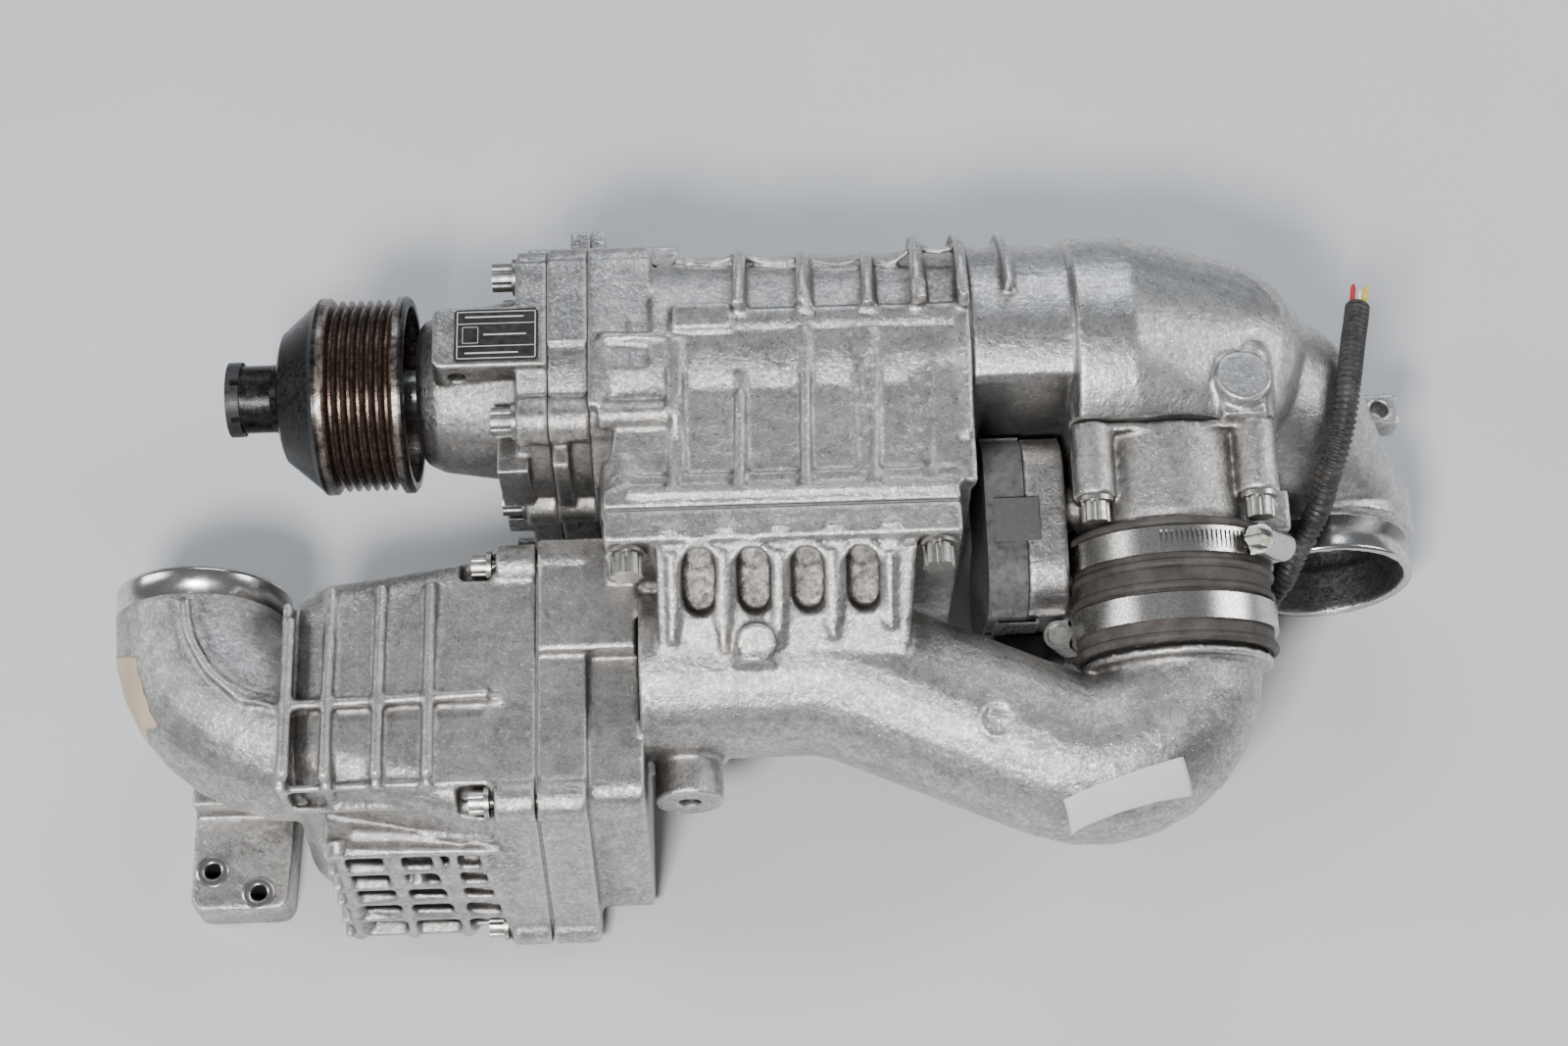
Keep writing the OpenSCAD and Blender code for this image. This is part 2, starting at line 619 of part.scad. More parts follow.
module lower_clamp_band() { color(bright_steel) clamp_band(clamp_y[1], clamp_turn[1]); }
module at_clamp(i) {
    bypass_frame() translate([0, clamp_y[i], 0]) rotate([0, clamp_turn[i], 0]) children();
}
module clamp_screw_housings() {
    color(bright_steel) for (i = [0, 1]) at_clamp(i) difference() {
        union() {
            zcyl(5.6, -9, 9, hose_r + 4.6, 0);
            box([hose_r + 0.2, hose_r + 3], [-5.5, 5.5], [-9, 9]);
        }
        zcyl(4.2, -10, 10, hose_r + 4.6, 0);
        ycyl(hose_r + 0.2, -7, 7);
    }
}
module clamp_screws() {
    color(bright_steel) for (i = [0, 1]) at_clamp(i) {
        zcyl(4.1, -8, 9, hose_r + 4.6, 0);
        difference() {
            zcyl(3.9, 9, 14.5, hose_r + 4.6, 0, $fn = 6);
            translate([hose_r + 4.6, 0, 14.5]) cube([9, 1, 2], center = true);
        }
    }
}

// ---- outlet manifold: flange, plenum, bypass pipe and silencer base ----
pipe_run = [104 - 308, 165.5 - 308];
pipe_y = -86;
bend_a_r = 60;
bend_angle = 23;
bend_b_r = 34;
bend_b_c = [-34, -90];
bypass_route = let (
    a_c = [pipe_run[1], pipe_y - bend_a_r],
    a_end = a_c + bend_a_r * [sin(bend_angle), cos(bend_angle)]
) concat(
    [[pipe_run[0], pipe_y, 0]],
    [for (a = [0, bend_angle / 2]) [a_c[0] + bend_a_r * sin(a), a_c[1] + bend_a_r * cos(a), 0]],
    [[a_end[0], a_end[1], 0]],
    [for (i = [0:8]) let (a = -90 - bend_angle + i * (90 + bend_angle) / 8)
        [bend_b_c[0] + bend_b_r * cos(a), bend_b_c[1] + bend_b_r * sin(a), 0]]
);
module bypass_pipe(r, more = 0) {
    last = bypass_route[len(bypass_route) - 1];
    bypass_frame() sweep(concat(bypass_route, [last + [0, 4 + more, 0]]), r, 32);
}
module silencer_slab(d, x0, x1, bottom_y) {
    hull() for (c = [[-75, -15], [-160, -15], [bottom_y + 12, -90], [-75, -90]])
        xcyl(12 - d, x0, x1, c[0], c[1], $fn = 32);
}
module outlet_manifold() {
    color(cast) difference() {
        union() {
            box(flange_x, [flange_y1 - 13.5, flange_y1 - 0.8], flange_z);
            // Plenum from the flange down to the pipe
            hull() {
                box([112, 208], [flange_y1 - 17, flange_y1 - 10], [-52, 33]);
                box([112, 204], [-122, -112], [-44, 9]);
            }
            bypass_pipe(bypass_r);
            bypass_frame() ycyl(spigot_r, -87, -64);
            bypass_frame() ycyl(36.5, -91, -88);
            // Ribs between the lightening pockets
            for (x = [117, 138, 158, 178, 199]) translate([x, flange_y1 - 13.5, 36]) rotate([38, 0, 0])
                box([-3, 3], [-33, 6], [-20, 0]);
            // Silencer base
            silencer_slab(0, split_x + 0.8, 84, -194);
            silencer_slab(4, 80, 105, -186);
            box([split_x + 1, 103], [-110, -64], [-60, 1]);
            ycyl(13, -161, -112, 121, -32);
            box([121, 168], [-142, -110], [-37, -27]);
            box([104, 124], [-142, -100], [-52, -14]);
            ycyl(8, -124, -112, 147, 10);
            for (b = silencer_bolts_at) xcyl(8, split_x + 0.8, 84, b[0], b[1]);
        }
        box([92.5, 230], [flange_y1 - 0.8, -30], [-110, 60]);
        // Ways through: port, pipe and silencer room
        hull() {
            box([126, 203], [flange_y1 - 1, flange_y1], [-53, 13]);
            box([130, 196], [-112, -108], [-38, 2]);
        }
        bypass_pipe(bypass_r - duct_wall, 24);
        xcyl(17, 98, 108, -114, -30);
        silencer_slab(9, split_x, 99, -184);
        for (x = [127.5, 148, 168, 188.5]) lightening_pocket(x);
        for (b = manifold_bolts_at) ycyl(3.8, flange_y1 - 30, flange_y1, b[0], b[1]);
        for (b = silencer_bolts_at) xcyl(2.6, split_x, 80, b[0], b[1]);
        ycyl(4.25, -162, -138, 121, -32);
    }
}
// Finger-shaped pocket in the plenum's upper face
module lightening_pocket(x) {
    translate([x, -87, 30]) rotate([34, 0, 0]) {
        translate([0, 0, -9]) cylinder(r = 6.3, h = 29);
        translate([0, -16, -8.5]) cylinder(r = 6.3, h = 29);
        box([-6.6, 6.6], [-16, 0], [-8, 18]);
    }
}
module manifold_bolts() {
    color(bright_steel) for (b = manifold_bolts_at)
        translate([b[0], flange_y1 - 13.5, b[1]]) rotate([0, 0, 90]) torx_bolt(3.2, 31, 6, 10);
}

// ---- silencer ----
silencer_bolts_at = [[-72, -6], [-166, -8], [-189, -88], [-78, -92], [-118, -97]];
module cover_body(d) {
    hull() {
        silencer_slab_section(d, 50, split_x);
        for (c = [[-90, -20], [-142, -20], [-156, -82], [-92, -82]]) ball(17 - d, [-13, c[0], c[1]], 24);
    }
}
module silencer_slab_section(d, x0, x1) {
    for (c = [[-78, -17], [-160, -17], [-174, -86], [-78, -86]]) xcyl(13 - d, x0, x1, c[0], c[1], $fn = 32);
}
module outlet_bend(r) {
    sweep(concat(
        [elbow_c + [-elbow_path_r, 2, 0]],
        [for (i = [0:8]) let (a = 180 + i * 90 / 8) elbow_c + elbow_path_r * [cos(a), sin(a), 0]],
        [elbow_c + [22, -elbow_path_r, 0]]
    ), r - 0.05, 32);
}
module silencer_cover() {
    color(cast) difference() {
        union() {
            cover_body(0);
            silencer_slab(0, 48, split_x, -194);
            outlet_bend(outlet_r);
            ycyl(outlet_r, elbow_c[1], -66, elbow_c[0] - elbow_path_r, elbow_c[2]);
            // Cross rib with the four upright ribs over the top face
            box([-30, 52], [-128.5, -125.5], [-30, sil_top + 2]);
            for (x = [-28.5, -11.7, 6.7, 25.1]) box([x - 1.8, x + 1.8], [-161, -86], [-30, sil_top + 1.5]);
            // Flash rib along the outlet bend
            translate(elbow_c) rotate([0, 0, 180]) rotate_extrude(angle = 90)
                translate([elbow_path_r, outlet_r - 2]) square([3.6, 7], center = true);
            side_grid();
            foot();
            for (b = silencer_bolts_at) xcyl(8, 50, split_x, b[0], b[1]);
        }
        difference() {
            union() {
                cover_body(4);
                silencer_slab(9, 46, split_x + 1, -184);
            }
            for (b = silencer_bolts_at) xcyl(8.6, 30, split_x + 2, b[0], b[1]);
        }
        for (b = silencer_bolts_at) xcyl(6.3, 36, 48, b[0], b[1]);
        outlet_bend(outlet_r - 4.5);
        ycyl(outlet_r - 4.5, elbow_c[1] - 1, -65, elbow_c[0] - elbow_path_r, elbow_c[2]);
        for (b = silencer_bolts_at) xcyl(3.1, 40, split_x + 1, b[0], b[1]);
        for (h = foot_holes) zcyl(3.3, floor_z - 1, -70, h[0], h[1]);
    }
}
// Lattice on the near side wall
module side_grid() {
    for (i = [0:5]) {
        z = -30 - i * 11.5;
        y = -173 - i * 2.6;
        box([-16, 50], [y - 6, y + 12], [z - 1.4, z + 1.4]);
    }
    for (x = [-10, 11, 32]) translate([x, -178, -28]) rotate([-13, 0, 0]) box([-1.6, 1.6], [-0.5, 14], [-64, 0]);
}
foot_holes = [[-68, -165], [-49.5, -174.4]];
module foot() {
    hull() for (c = [[-71, -176], [-43, -176], [-41, -132], [-71, -132]])
        zcyl(5, floor_z, -82, c[0], c[1], $fn = 32);
    box([-75.4, -36.6], [-142, -110], [floor_z, -70]);
}
module silencer_gasket() {
    color([0.3, 0.3, 0.32]) difference() {
        silencer_slab(1, split_x, split_x + 0.8, -194);
        silencer_slab(8.5, split_x - 1, split_x + 2, -184);
        for (b = silencer_bolts_at) xcyl(3.2, split_x - 1, split_x + 2, b[0], b[1]);
    }
}
module resonator_tube() {
    color([0.6, 0.6, 0.6]) difference() {
        union() {
            xcyl(26, -12, 96, -116, -46);
            xcyl(34, 60, 63, -116, -46);
        }
        xcyl(24.5, -13, 97, -116, -46);
        for (x = [2:14:86], a = [0:45:315]) if (abs(x - 61) > 6)
            translate([x, -116, -46]) rotate([a, 0, 0]) cylinder(r = 2.5, h = 40, $fn = 16);
    }
}
module silencer_bolts() {
    color(bright_steel) for (b = silencer_bolts_at) translate([48, b[0], b[1]]) torx_bolt(2.5, 30, 4.6, 7.5);
}
module nose_bolts() {
    color(bright_steel) for (b = top_bolts) translate([60.5, b[0], b[1]]) torx_bolt(3.2, 50, 5.6, 9.5);
}
module elbow_bolts() {
    color(bright_steel) for (b = elbow_bolts_at) translate([elbow_x0 + 10, b[0], b[1]]) rotate([0, 0, 180])
        torx_bolt(2.5, 24, 4.6, 7.5);
}

// ---- rotating parts on the drive axis ----
belt_half = groove_count * rib_pitch / 2;
groove_depth = 2.9;
module pulley() {
    crest = pulley_r - 1.2;
    color(dark_steel) difference() {
        turned(concat(
            [[-51.5, 0], [-51.5, 13.2], [-37, 13.2], [-34.6, 14], [-33.4, 16], [-33, 22], [-31.6, 25.6],
             [-28.5, 28.2], [-18.8, 36.6], [-17, pulley_r], [-belt_half - 1, pulley_r]],
            [for (i = [0:groove_count - 1]) each [
                [-belt_half + rib_pitch * i, crest],
                [-belt_half + rib_pitch * (i + 0.5) - 0.45, crest - groove_depth],
                [-belt_half + rib_pitch * (i + 0.5) + 0.45, crest - groove_depth]]],
            [[belt_half, crest], [belt_half + 1, pulley_r], [16.5, pulley_r], [17.6, pulley_r - 1.2], [17.6, pulley_r - 4],
             [-10, pulley_r - 7], [-14, 30], [-14, 15], [0, 15], [0, 0]]));
        xcyl(8.5, -60, 1);
    }
}
module hub_cap_ring() {
    color([0.08, 0.08, 0.08]) difference() {
        xcyl(14.6, -54, -48.8);
        xcyl(13.2, -51.5, -48);
        for (a = [0:60:300]) rotate([a, 0, 0]) box([-52, -48], [-1.3, 1.3], [12.5, 16]);
        xcyl(9, -55, -53);
    }
}
module input_shaft() {
    color(bright_steel) union() {
        xcyl(8.5, -51, 25);
        xcyl(8.47, 25, 47.5);
        xcyl(9.6, 14, 22);
    }
}
module nose_bearings() {
    color(bright_steel) for (x = [26, 36]) translate([x, 0, 0]) ball_bearing(8.5, 17, 9);
}
module nose_seal() {
    color([0.08, 0.08, 0.08]) difference() {
        xcyl(11, nose_x0 + 0.5, nose_x0 + 4.5);
        xcyl(9.7, nose_x0 - 1, nose_x0 + 5);
    }
}
module coupling_hub() {
    color(bright_steel) {
        difference() {
            xcyl(17, 47.6, 51);
            xcyl(8.5, 47, 47.5);
        }
        for (a = [0:120:240]) rotate([a, 0, 0]) xcyl(2.5, 51, 57, 12, 0);
    }
}
module coupling_isolator() {
    color([0.75, 0.7, 0.55]) difference() {
        xcyl(18, 51.1, 56.9);
        for (a = [0:60:300]) rotate([a, 0, 0]) xcyl(2.5, 50, 58, 12, 0);
        xcyl(5, 50, 58);
    }
}
timing_teeth = 44;
timing_module = rotor_pitch / timing_teeth;
module timing_gear(turn) {
    difference() {
        union() {
            gear(timing_teeth, timing_module, 62, 70, turn, 0.14);
            xcyl(13, 60.5, 71.5);
        }
        xcyl(8, 60, 72);
    }
}
module drive_gear() {
    color(bright_steel) {
        timing_gear(gear_turn(270, timing_teeth, 0));
        for (a = [60:120:300]) rotate([a, 0, 0]) xcyl(2.5, 51.2, 63, 12, 0);
    }
}
module driven_gear() {
    color(bright_steel) translate([0, 0, low_z]) timing_gear(gear_turn(90, timing_teeth, 0.5));
}
rotor_turn = gear_turn(270, 3, 0);
module drive_rotor() {
    color([0.8, 0.8, 0.8]) difference() {
        translate([rotor_x0, 0, 0]) rotor(1, rotor_turn);
        xcyl(9, rotor_x0 - 1, rotor_x0 + rotor_len + 1);
    }
}
module driven_rotor() {
    color([0.8, 0.8, 0.8]) translate([0, 0, low_z]) difference() {
        translate([rotor_x0, 0, 0]) rotor(-1, gear_turn(90, 3, 0.5));
        xcyl(9, rotor_x0 - 1, rotor_x0 + rotor_len + 1);
    }
}
module rotor_shaft() {
    xcyl(8, 60.5, 90);
    xcyl(9, 90, rotor_x0 + rotor_len);
    xcyl(6, rotor_x0 + rotor_len, rear_x - 3);
}
module drive_rotor_shaft() { color(bright_steel) rotor_shaft(); }
module driven_rotor_shaft() { color(bright_steel) translate([0, 0, low_z]) rotor_shaft(); }
module rotor_front_bearings() {
    color(bright_steel) for (z = axes_z) translate([73, 0, z]) ball_bearing(8.03, 17.5, 9);
}
module rotor_seals() {
    color([0.08, 0.08, 0.08]) for (z = axes_z) translate([0, 0, z]) difference() {
        xcyl(13, 83, 87.5);
        xcyl(8.05, 82, 88);
    }
}
module rotor_rear_bearings() {
    color(bright_steel) for (z = axes_z) translate([0, 0, z]) difference() {
        xcyl(11, bore_x1 + 0.2, rear_x - 1.6);
        xcyl(6.04, bore_x1, rear_x);
    }
}

// ---- conduit: a free length of corrugated tube ----
conduit_r = 5;
conduit_route = [
    [269.2, -93.6, -59], [274.5, -93.7, -59.2], [280, -94.5, -61.5], [292, -95.5, -63.5],
    [306, -96, -64.5], [320, -95, -63], [332, -92, -59.5], [342, -87, -53], [350, -80, -45.5],
    [356.2, -74.3, -36.2], [359.8, -68.2, -26.8], [364.9, -60.9, -24.3], [367.7, -55.9, -21.8],
    [369.9, -51.5, -14], [371.5, -46, -7.6], [373.8, -40.5, -1.8], [376, -34, 2.2],
    [377.8, -27.3, 5.5], [379.4, -20, 7.7], [381, -12, 8.6], [383.5, -2, 7], [386.2, 8.7, 4.8],
    [388.7, 17.5, 2.6], [390.8, 25.5, 0.5],
];
wire_ends = [[2.4, 1.2, 9], [-2.2, 1.4, 12], [-1.2, -2.2, 11], [1.9, -1.9, 8]];
// One unit vector along the route at point i
function route_dir(p, i) = let (d = p[min(i + 1, len(p) - 1)] - p[max(i - 1, 0)]) d / norm(d);
function ring(p, i, r, n) = let (
    d = route_dir(p, i),
    s = cross(d, [0, 0, 1]),
    side = s / norm(s),
    up = cross(side, d)
) [for (k = [0:n - 1]) p[i] + r * (cos(k * 360 / n) * side + sin(k * 360 / n) * up)];
module sweep(p, r, n) {
    rings = len(p);
    polyhedron(
        points = [for (i = [0:rings - 1]) each ring(p, i, r, n)],
        faces = concat(
            [[for (k = [n - 1:-1:0]) k]],
            [for (i = [0:rings - 2], k = [0:n - 1]) [i * n + (k + 1) % n, (i + 1) * n + (k + 1) % n, (i + 1) * n + k, i * n + k]],
            [[for (k = [0:n - 1]) (rings - 1) * n + k]]
        ));
}
module conduit() {
    color([0.09, 0.09, 0.1]) sweep(conduit_route, conduit_r, 12);
}
module conduit_wires() {
    color([0.85, 0.75, 0.2]) {
        last = len(conduit_route) - 1;
        d = route_dir(conduit_route, last);
        side = cross(d, [0, 0, 1]) / norm(cross(d, [0, 0, 1]));
        up = cross(side, d);
        for (w = wire_ends) let (from = conduit_route[last] + w[0] * side + w[1] * up)
            sweep([from, from + d * w[2] / 2, from + d * w[2]], 1.1, 8);
    }
}

nose_housing();
nameplate();
bearing_plate();
rotor_housing();
outlet_gasket();
intake_gasket();
intake_elbow();
flap_housing();
flap_seal();
actuator_cover();
actuator_clips();
actuator_motor();
actuator_connector();
conduit();
conduit_wires();
flap_shaft();
flap_plate();
flap_screws();
sector_gear();
reduction_gear();
reduction_gear_pin();
motor_pinion();
coupling_hose();
upper_clamp_band();
lower_clamp_band();
clamp_screw_housings();
clamp_screws();
outlet_manifold();
silencer_gasket();
silencer_cover();
resonator_tube();
silencer_bolts();
manifold_bolts();
nose_bolts();
elbow_bolts();
flap_housing_bolts();
pulley();
hub_cap_ring();
input_shaft();
nose_bearings();
nose_seal();
coupling_hub();
coupling_isolator();
drive_gear();
driven_gear();
drive_rotor();
driven_rotor();
drive_rotor_shaft();
driven_rotor_shaft();
rotor_front_bearings();
rotor_rear_bearings();
rotor_seals();
oil_plug();
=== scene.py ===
import math
import bpy
import bmesh
import numpy as np
from mathutils import Matrix, Vector
from mathutils.bvhtree import BVHTree


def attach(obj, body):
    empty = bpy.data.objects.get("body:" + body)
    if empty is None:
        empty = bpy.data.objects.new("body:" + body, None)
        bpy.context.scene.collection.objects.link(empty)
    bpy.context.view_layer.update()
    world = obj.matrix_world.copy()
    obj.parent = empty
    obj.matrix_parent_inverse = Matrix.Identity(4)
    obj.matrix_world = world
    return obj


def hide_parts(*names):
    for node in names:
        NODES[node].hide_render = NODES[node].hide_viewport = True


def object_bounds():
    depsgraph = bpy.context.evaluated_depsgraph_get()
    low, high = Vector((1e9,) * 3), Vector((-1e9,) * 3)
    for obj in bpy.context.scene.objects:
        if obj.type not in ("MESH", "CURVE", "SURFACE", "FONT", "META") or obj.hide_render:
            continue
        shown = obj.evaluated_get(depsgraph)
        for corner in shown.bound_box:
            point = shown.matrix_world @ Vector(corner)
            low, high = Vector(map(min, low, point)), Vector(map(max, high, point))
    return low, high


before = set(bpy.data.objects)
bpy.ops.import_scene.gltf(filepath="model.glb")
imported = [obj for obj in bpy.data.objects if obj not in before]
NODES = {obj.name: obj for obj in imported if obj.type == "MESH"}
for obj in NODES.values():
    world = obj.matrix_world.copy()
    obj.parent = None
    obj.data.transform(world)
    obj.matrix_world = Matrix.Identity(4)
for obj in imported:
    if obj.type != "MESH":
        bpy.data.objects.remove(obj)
CAD_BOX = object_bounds()
MM = 0.001
SCENE = bpy.context.scene
ROD_SIDES = 32
RIDGE_STEP = 1.5      # mm between samples of a cast rib
RIDGE_SIDES = 10
MOST_FACES = 95000    # per casting


# ---------------------------------------------------------------- camera
def look_at(obj, target):
    obj.rotation_euler = (Vector(target) - obj.location).to_track_quat("-Z", "Y").to_euler()


camera = bpy.data.objects.new("camera", bpy.data.cameras.new("camera"))
SCENE.collection.objects.link(camera)
camera.location = (0.1450, -0.4877, 0.9169)
look_at(camera, (0.160, -0.059, -0.003))
camera.data.lens = 60.75
camera.data.sensor_width = 36
SCENE.camera = camera


# ---------------------------------------------------------------- mesh helpers, in millimetres
def new_object(name, bm, smooth=True):
    mesh = bpy.data.meshes.new(name)
    bmesh.ops.recalc_face_normals(bm, faces=bm.faces)
    bm.to_mesh(mesh)
    bm.free()
    mesh.polygons.foreach_set("use_smooth", [smooth] * len(mesh.polygons))
    obj = bpy.data.objects.new(name, mesh)
    SCENE.collection.objects.link(obj)
    return obj


def apply_modifiers(obj):
    deps = bpy.context.evaluated_depsgraph_get()
    mesh = bpy.data.meshes.new_from_object(obj.evaluated_get(deps))
    obj.modifiers.clear()
    old, obj.data = obj.data, mesh
    bpy.data.meshes.remove(old)
    mesh.polygons.foreach_set("use_smooth", [True] * len(mesh.polygons))
    return obj


def add_box(bm, x, y, z):
    size = Vector((x[1] - x[0], y[1] - y[0], z[1] - z[0])) * MM
    mid = Vector((x[0] + x[1], y[0] + y[1], z[0] + z[1])) * (MM / 2)
    bmesh.ops.create_cube(bm, size=1, matrix=Matrix.Translation(mid) @ Matrix.Diagonal((*size, 1)))


def metres(matrix):
    m = matrix.copy()
    m.translation = m.translation * MM
    return m


def add_rod(bm, a, b, r, r2=None):
    a, b = Vector(a) * MM, Vector(b) * MM
    d = b - a
    m = Matrix.Translation((a + b) / 2) @ d.to_track_quat("Z", "Y").to_matrix().to_4x4()
    bmesh.ops.create_cone(bm, cap_ends=True, segments=ROD_SIDES, radius1=r * MM,
                          radius2=(r if r2 is None else r2) * MM, depth=d.length, matrix=m)


def add_lathe(bm, profile, matrix, sides=128):
    """A ring round the matrix's X axis from a closed run of (x, r) points in millimetres."""
    rings = []
    m = metres(matrix)
    for x, r in profile:
        rings.append([bm.verts.new(m @ Vector((x * MM, r * MM * math.cos(t), r * MM * math.sin(t))))
                      for t in (2 * math.pi * k / sides for k in range(sides))])
    for a, b in zip(rings, rings[1:]):
        for k in range(sides):
            n = (k + 1) % sides
            bm.faces.new((a[k], a[n], b[n], b[k]))


def route_frames(points):
    """Point, side and up along a route, with the CAD's own choice of side."""
    out = []
    for i, p in enumerate(points):
        d = (points[min(i + 1, len(points) - 1)] - points[max(i - 1, 0)]).normalized()
        side = d.cross(Vector((0, 0, 1))).normalized()
        out.append((p, side, side.cross(d), d))
    return out


def smooth_route(points, step):
    """Catmull-Rom through the points, sampled about every step."""
    pts = [Vector(p) for p in points]
    pts = [2 * pts[0] - pts[1]] + pts + [2 * pts[-1] - pts[-2]]
    out = []
    for a, b, c, d in zip(pts, pts[1:], pts[2:], pts[3:]):
        n = max(1, round((c - b).length / step))
        for k in range(n):
            t = k / n
            out.append(0.5 * (2 * b + (c - a) * t + (2 * a - 5 * b + 4 * c - d) * t * t
                              + (3 * b - a - 3 * c + d) * t ** 3))
    return out + [pts[-2]]


def add_tube(bm, frames, radii, sides):
    """A capped tube along frames from route_frames, with one radius for each of them."""
    rings = []
    for (p, side, up, _), r in zip(frames, radii):
        rings.append([bm.verts.new((p + r * (math.cos(t) * side + math.sin(t) * up)) * MM)
                      for t in (2 * math.pi * k / sides for k in range(sides))])
    for a, b in zip(rings, rings[1:]):
        for k in range(sides):
            n = (k + 1) % sides
            bm.faces.new((a[k], a[n], b[n], b[k]))
    bm.faces.new(rings[0])
    bm.faces.new(rings[-1])


# ---------------------------------------------------------------- materials
class Finish:
    """A Principled material with a few short-hands for procedural nodes."""

    def __init__(self, name, metallic=0.0, roughness=0.5, color=(0.5, 0.5, 0.5)):
        self.material = bpy.data.materials.new(name)
        self.material.use_nodes = True
        self.tree = self.material.node_tree
        self.tree.nodes.clear()
        self.shader = self.node("ShaderNodeBsdfPrincipled")
        out = self.node("ShaderNodeOutputMaterial")
        self.join(self.shader.outputs[0], out.inputs["Surface"])
        self.shader.inputs["Metallic"].default_value = metallic
        self.shader.inputs["Roughness"].default_value = roughness
        self.shader.inputs["Base Color"].default_value = (*color, 1)
        self.coords = self.node("ShaderNodeTexCoord").outputs["Object"]

    def node(self, kind, **settings):
        n = self.tree.nodes.new(kind)
        for k, v in settings.items():
            setattr(n, k, v)
        return n

    def join(self, a, b):
        self.tree.links.new(a, b)

    def put(self, socket, value):
        if isinstance(value, bpy.types.NodeSocket):
            self.join(value, socket)
        elif isinstance(value, (tuple, list)) and len(value) == 3 and len(socket.default_value) == 4:
            socket.default_value = (*value, 1)
        else:
            socket.default_value = value

    def noise(self, scale, detail=4.0, rough=0.55, distort=0.0, coords=None):
        n = self.node("ShaderNodeTexNoise")
        self.put(n.inputs["Vector"], coords or self.coords)
        n.inputs["Scale"].default_value = scale
        n.inputs["Detail"].default_value = detail
        n.inputs["Roughness"].default_value = rough
        n.inputs["Distortion"].default_value = distort
        return n.outputs["Fac"]

    def span(self, value, lo, hi, out_lo=0.0, out_hi=1.0):
        n = self.node("ShaderNodeMapRange")
        sockets = ("Value", "From Min", "From Max", "To Min", "To Max")
        for s, v in zip(sockets, (value, lo, hi, out_lo, out_hi)):
            self.put(n.inputs[s], v)
        return n.outputs["Result"]

    def math(self, op, a, b=0.0):
        n = self.node("ShaderNodeMath", operation=op)
        self.put(n.inputs[0], a)
        self.put(n.inputs[1], b)
        return n.outputs[0]

    def mix(self, fac, a, b, mode="MIX"):
        n = self.node("ShaderNodeMix", data_type="RGBA", blend_type=mode)
        self.put(n.inputs["Factor"], fac)
        self.put(n.inputs[6], a)
        self.put(n.inputs[7], b)
        return n.outputs[2]

    def bump(self, height, distance, strength=1.0, below=None):
        n = self.node("ShaderNodeBump")
        n.inputs["Strength"].default_value = strength
        n.inputs["Distance"].default_value = distance
        self.put(n.inputs["Height"], height)
        if below is not None:
            self.join(below, n.inputs["Normal"])
        return n.outputs["Normal"]

    def occlusion(self, distance):
        n = self.node("ShaderNodeAmbientOcclusion", samples=6)
        n.inputs["Distance"].default_value = distance
        return n.outputs["AO"]

    def pointiness(self):
        return self.node("ShaderNodeNewGeometry").outputs["Pointiness"]

    def axis(self, name):
        n = self.node("ShaderNodeSeparateXYZ")
        self.join(self.coords, n.inputs[0])
        return n.outputs[name]

    def finish(self, color=None, roughness=None, normal=None):
        for s, v in (("Base Color", color), ("Roughness", roughness), ("Normal", normal)):
            if v is not None:
                self.put(self.shader.inputs[s], v)
        return self.material


def cast_metal(name, dark, light, shade_and_dirt_color, grain=1.0, rough=(0.23, 0.43), shade_and_dirt_amount=1.0):
    f = Finish(name, metallic=1.0)
    cloud = f.span(f.noise(34, 5, 0.62), 0.34, 0.66)
    patch = f.span(f.noise(190, 6, 0.72, 0.5), 0.37, 0.63)
    speck = f.span(f.noise(620, 5, 0.8, 0.3), 0.4, 0.62)
    tone = f.mix(f.math("ADD", f.math("MULTIPLY", cloud, 0.5), f.math("MULTIPLY", patch, 0.4)), dark, light)
    bright = [min(1, c * 1.5) for c in light]
    tone = f.mix(f.math("MULTIPLY", speck, f.span(patch, 0, 1, 0.25, 0.9)), tone, bright)
    fleck = f.math("MULTIPLY", f.span(f.noise(700, 5, 0.8), 0.5, 0.64),
                   f.span(f.noise(60, 4, 0.6), 0.3, 0.7, 0.15, 0.6))
    tone = f.mix(fleck, tone, [c * 0.6 for c in dark])
    # Ambient occlusion darkens the hollows: painted shade in recesses, broken up by noise and mixed with grime
    # towards the dark hollow colour.
    hollow_shade = f.span(f.occlusion(0.016), 0.3, 0.9, 1.0, 0.0)
    shade_and_grime = f.math("MULTIPLY", hollow_shade, f.span(f.noise(95, 6, 0.75, 0.6), 0.28, 0.6, 0.3, 1.0))
    tone = f.mix(f.math("MULTIPLY", shade_and_grime, 0.85 * shade_and_dirt_amount), tone, shade_and_dirt_color)
    # Convex edges found by pointiness are mixed towards near-white: a painted highlight.
    edge = f.span(f.pointiness(), 0.512, 0.56)
    tone = f.mix(f.math("MULTIPLY", edge, 0.6), tone, (0.93, 0.92, 0.9))
    r = f.math("ADD", f.span(speck, 0, 1, rough[1], rough[0]), f.math("MULTIPLY", shade_and_grime, 0.25))
    skin = f.bump(f.noise(520, 5, 0.7), 0.0010 * grain, 0.45)
    skin = f.bump(f.noise(140, 3, 0.5), 0.0014 * grain, 0.25, below=skin)
    return f.finish(tone, r, skin)


def plain_metal(name, dark, light, rough=(0.22, 0.4), scale=260, grain=0.00012, shade_and_dirt_color=None):
    f = Finish(name, metallic=1.0)
    n = f.span(f.noise(scale, 5, 0.65), 0.35, 0.65)
    tone = f.mix(n, dark, light)
    # With a hollow colour, ambient occlusion darkens the recesses towards it: painted shade and dirt.
    if shade_and_dirt_color:
        hollow_shade = f.span(f.occlusion(0.004), 0.4, 0.85, 1.0, 0.0)
        tone = f.mix(f.math("MULTIPLY", hollow_shade, 0.6), tone, shade_and_dirt_color)
    return f.finish(tone, f.span(n, 0, 1, rough[1], rough[0]), f.bump(f.noise(scale * 6, 3), grain, 0.5))


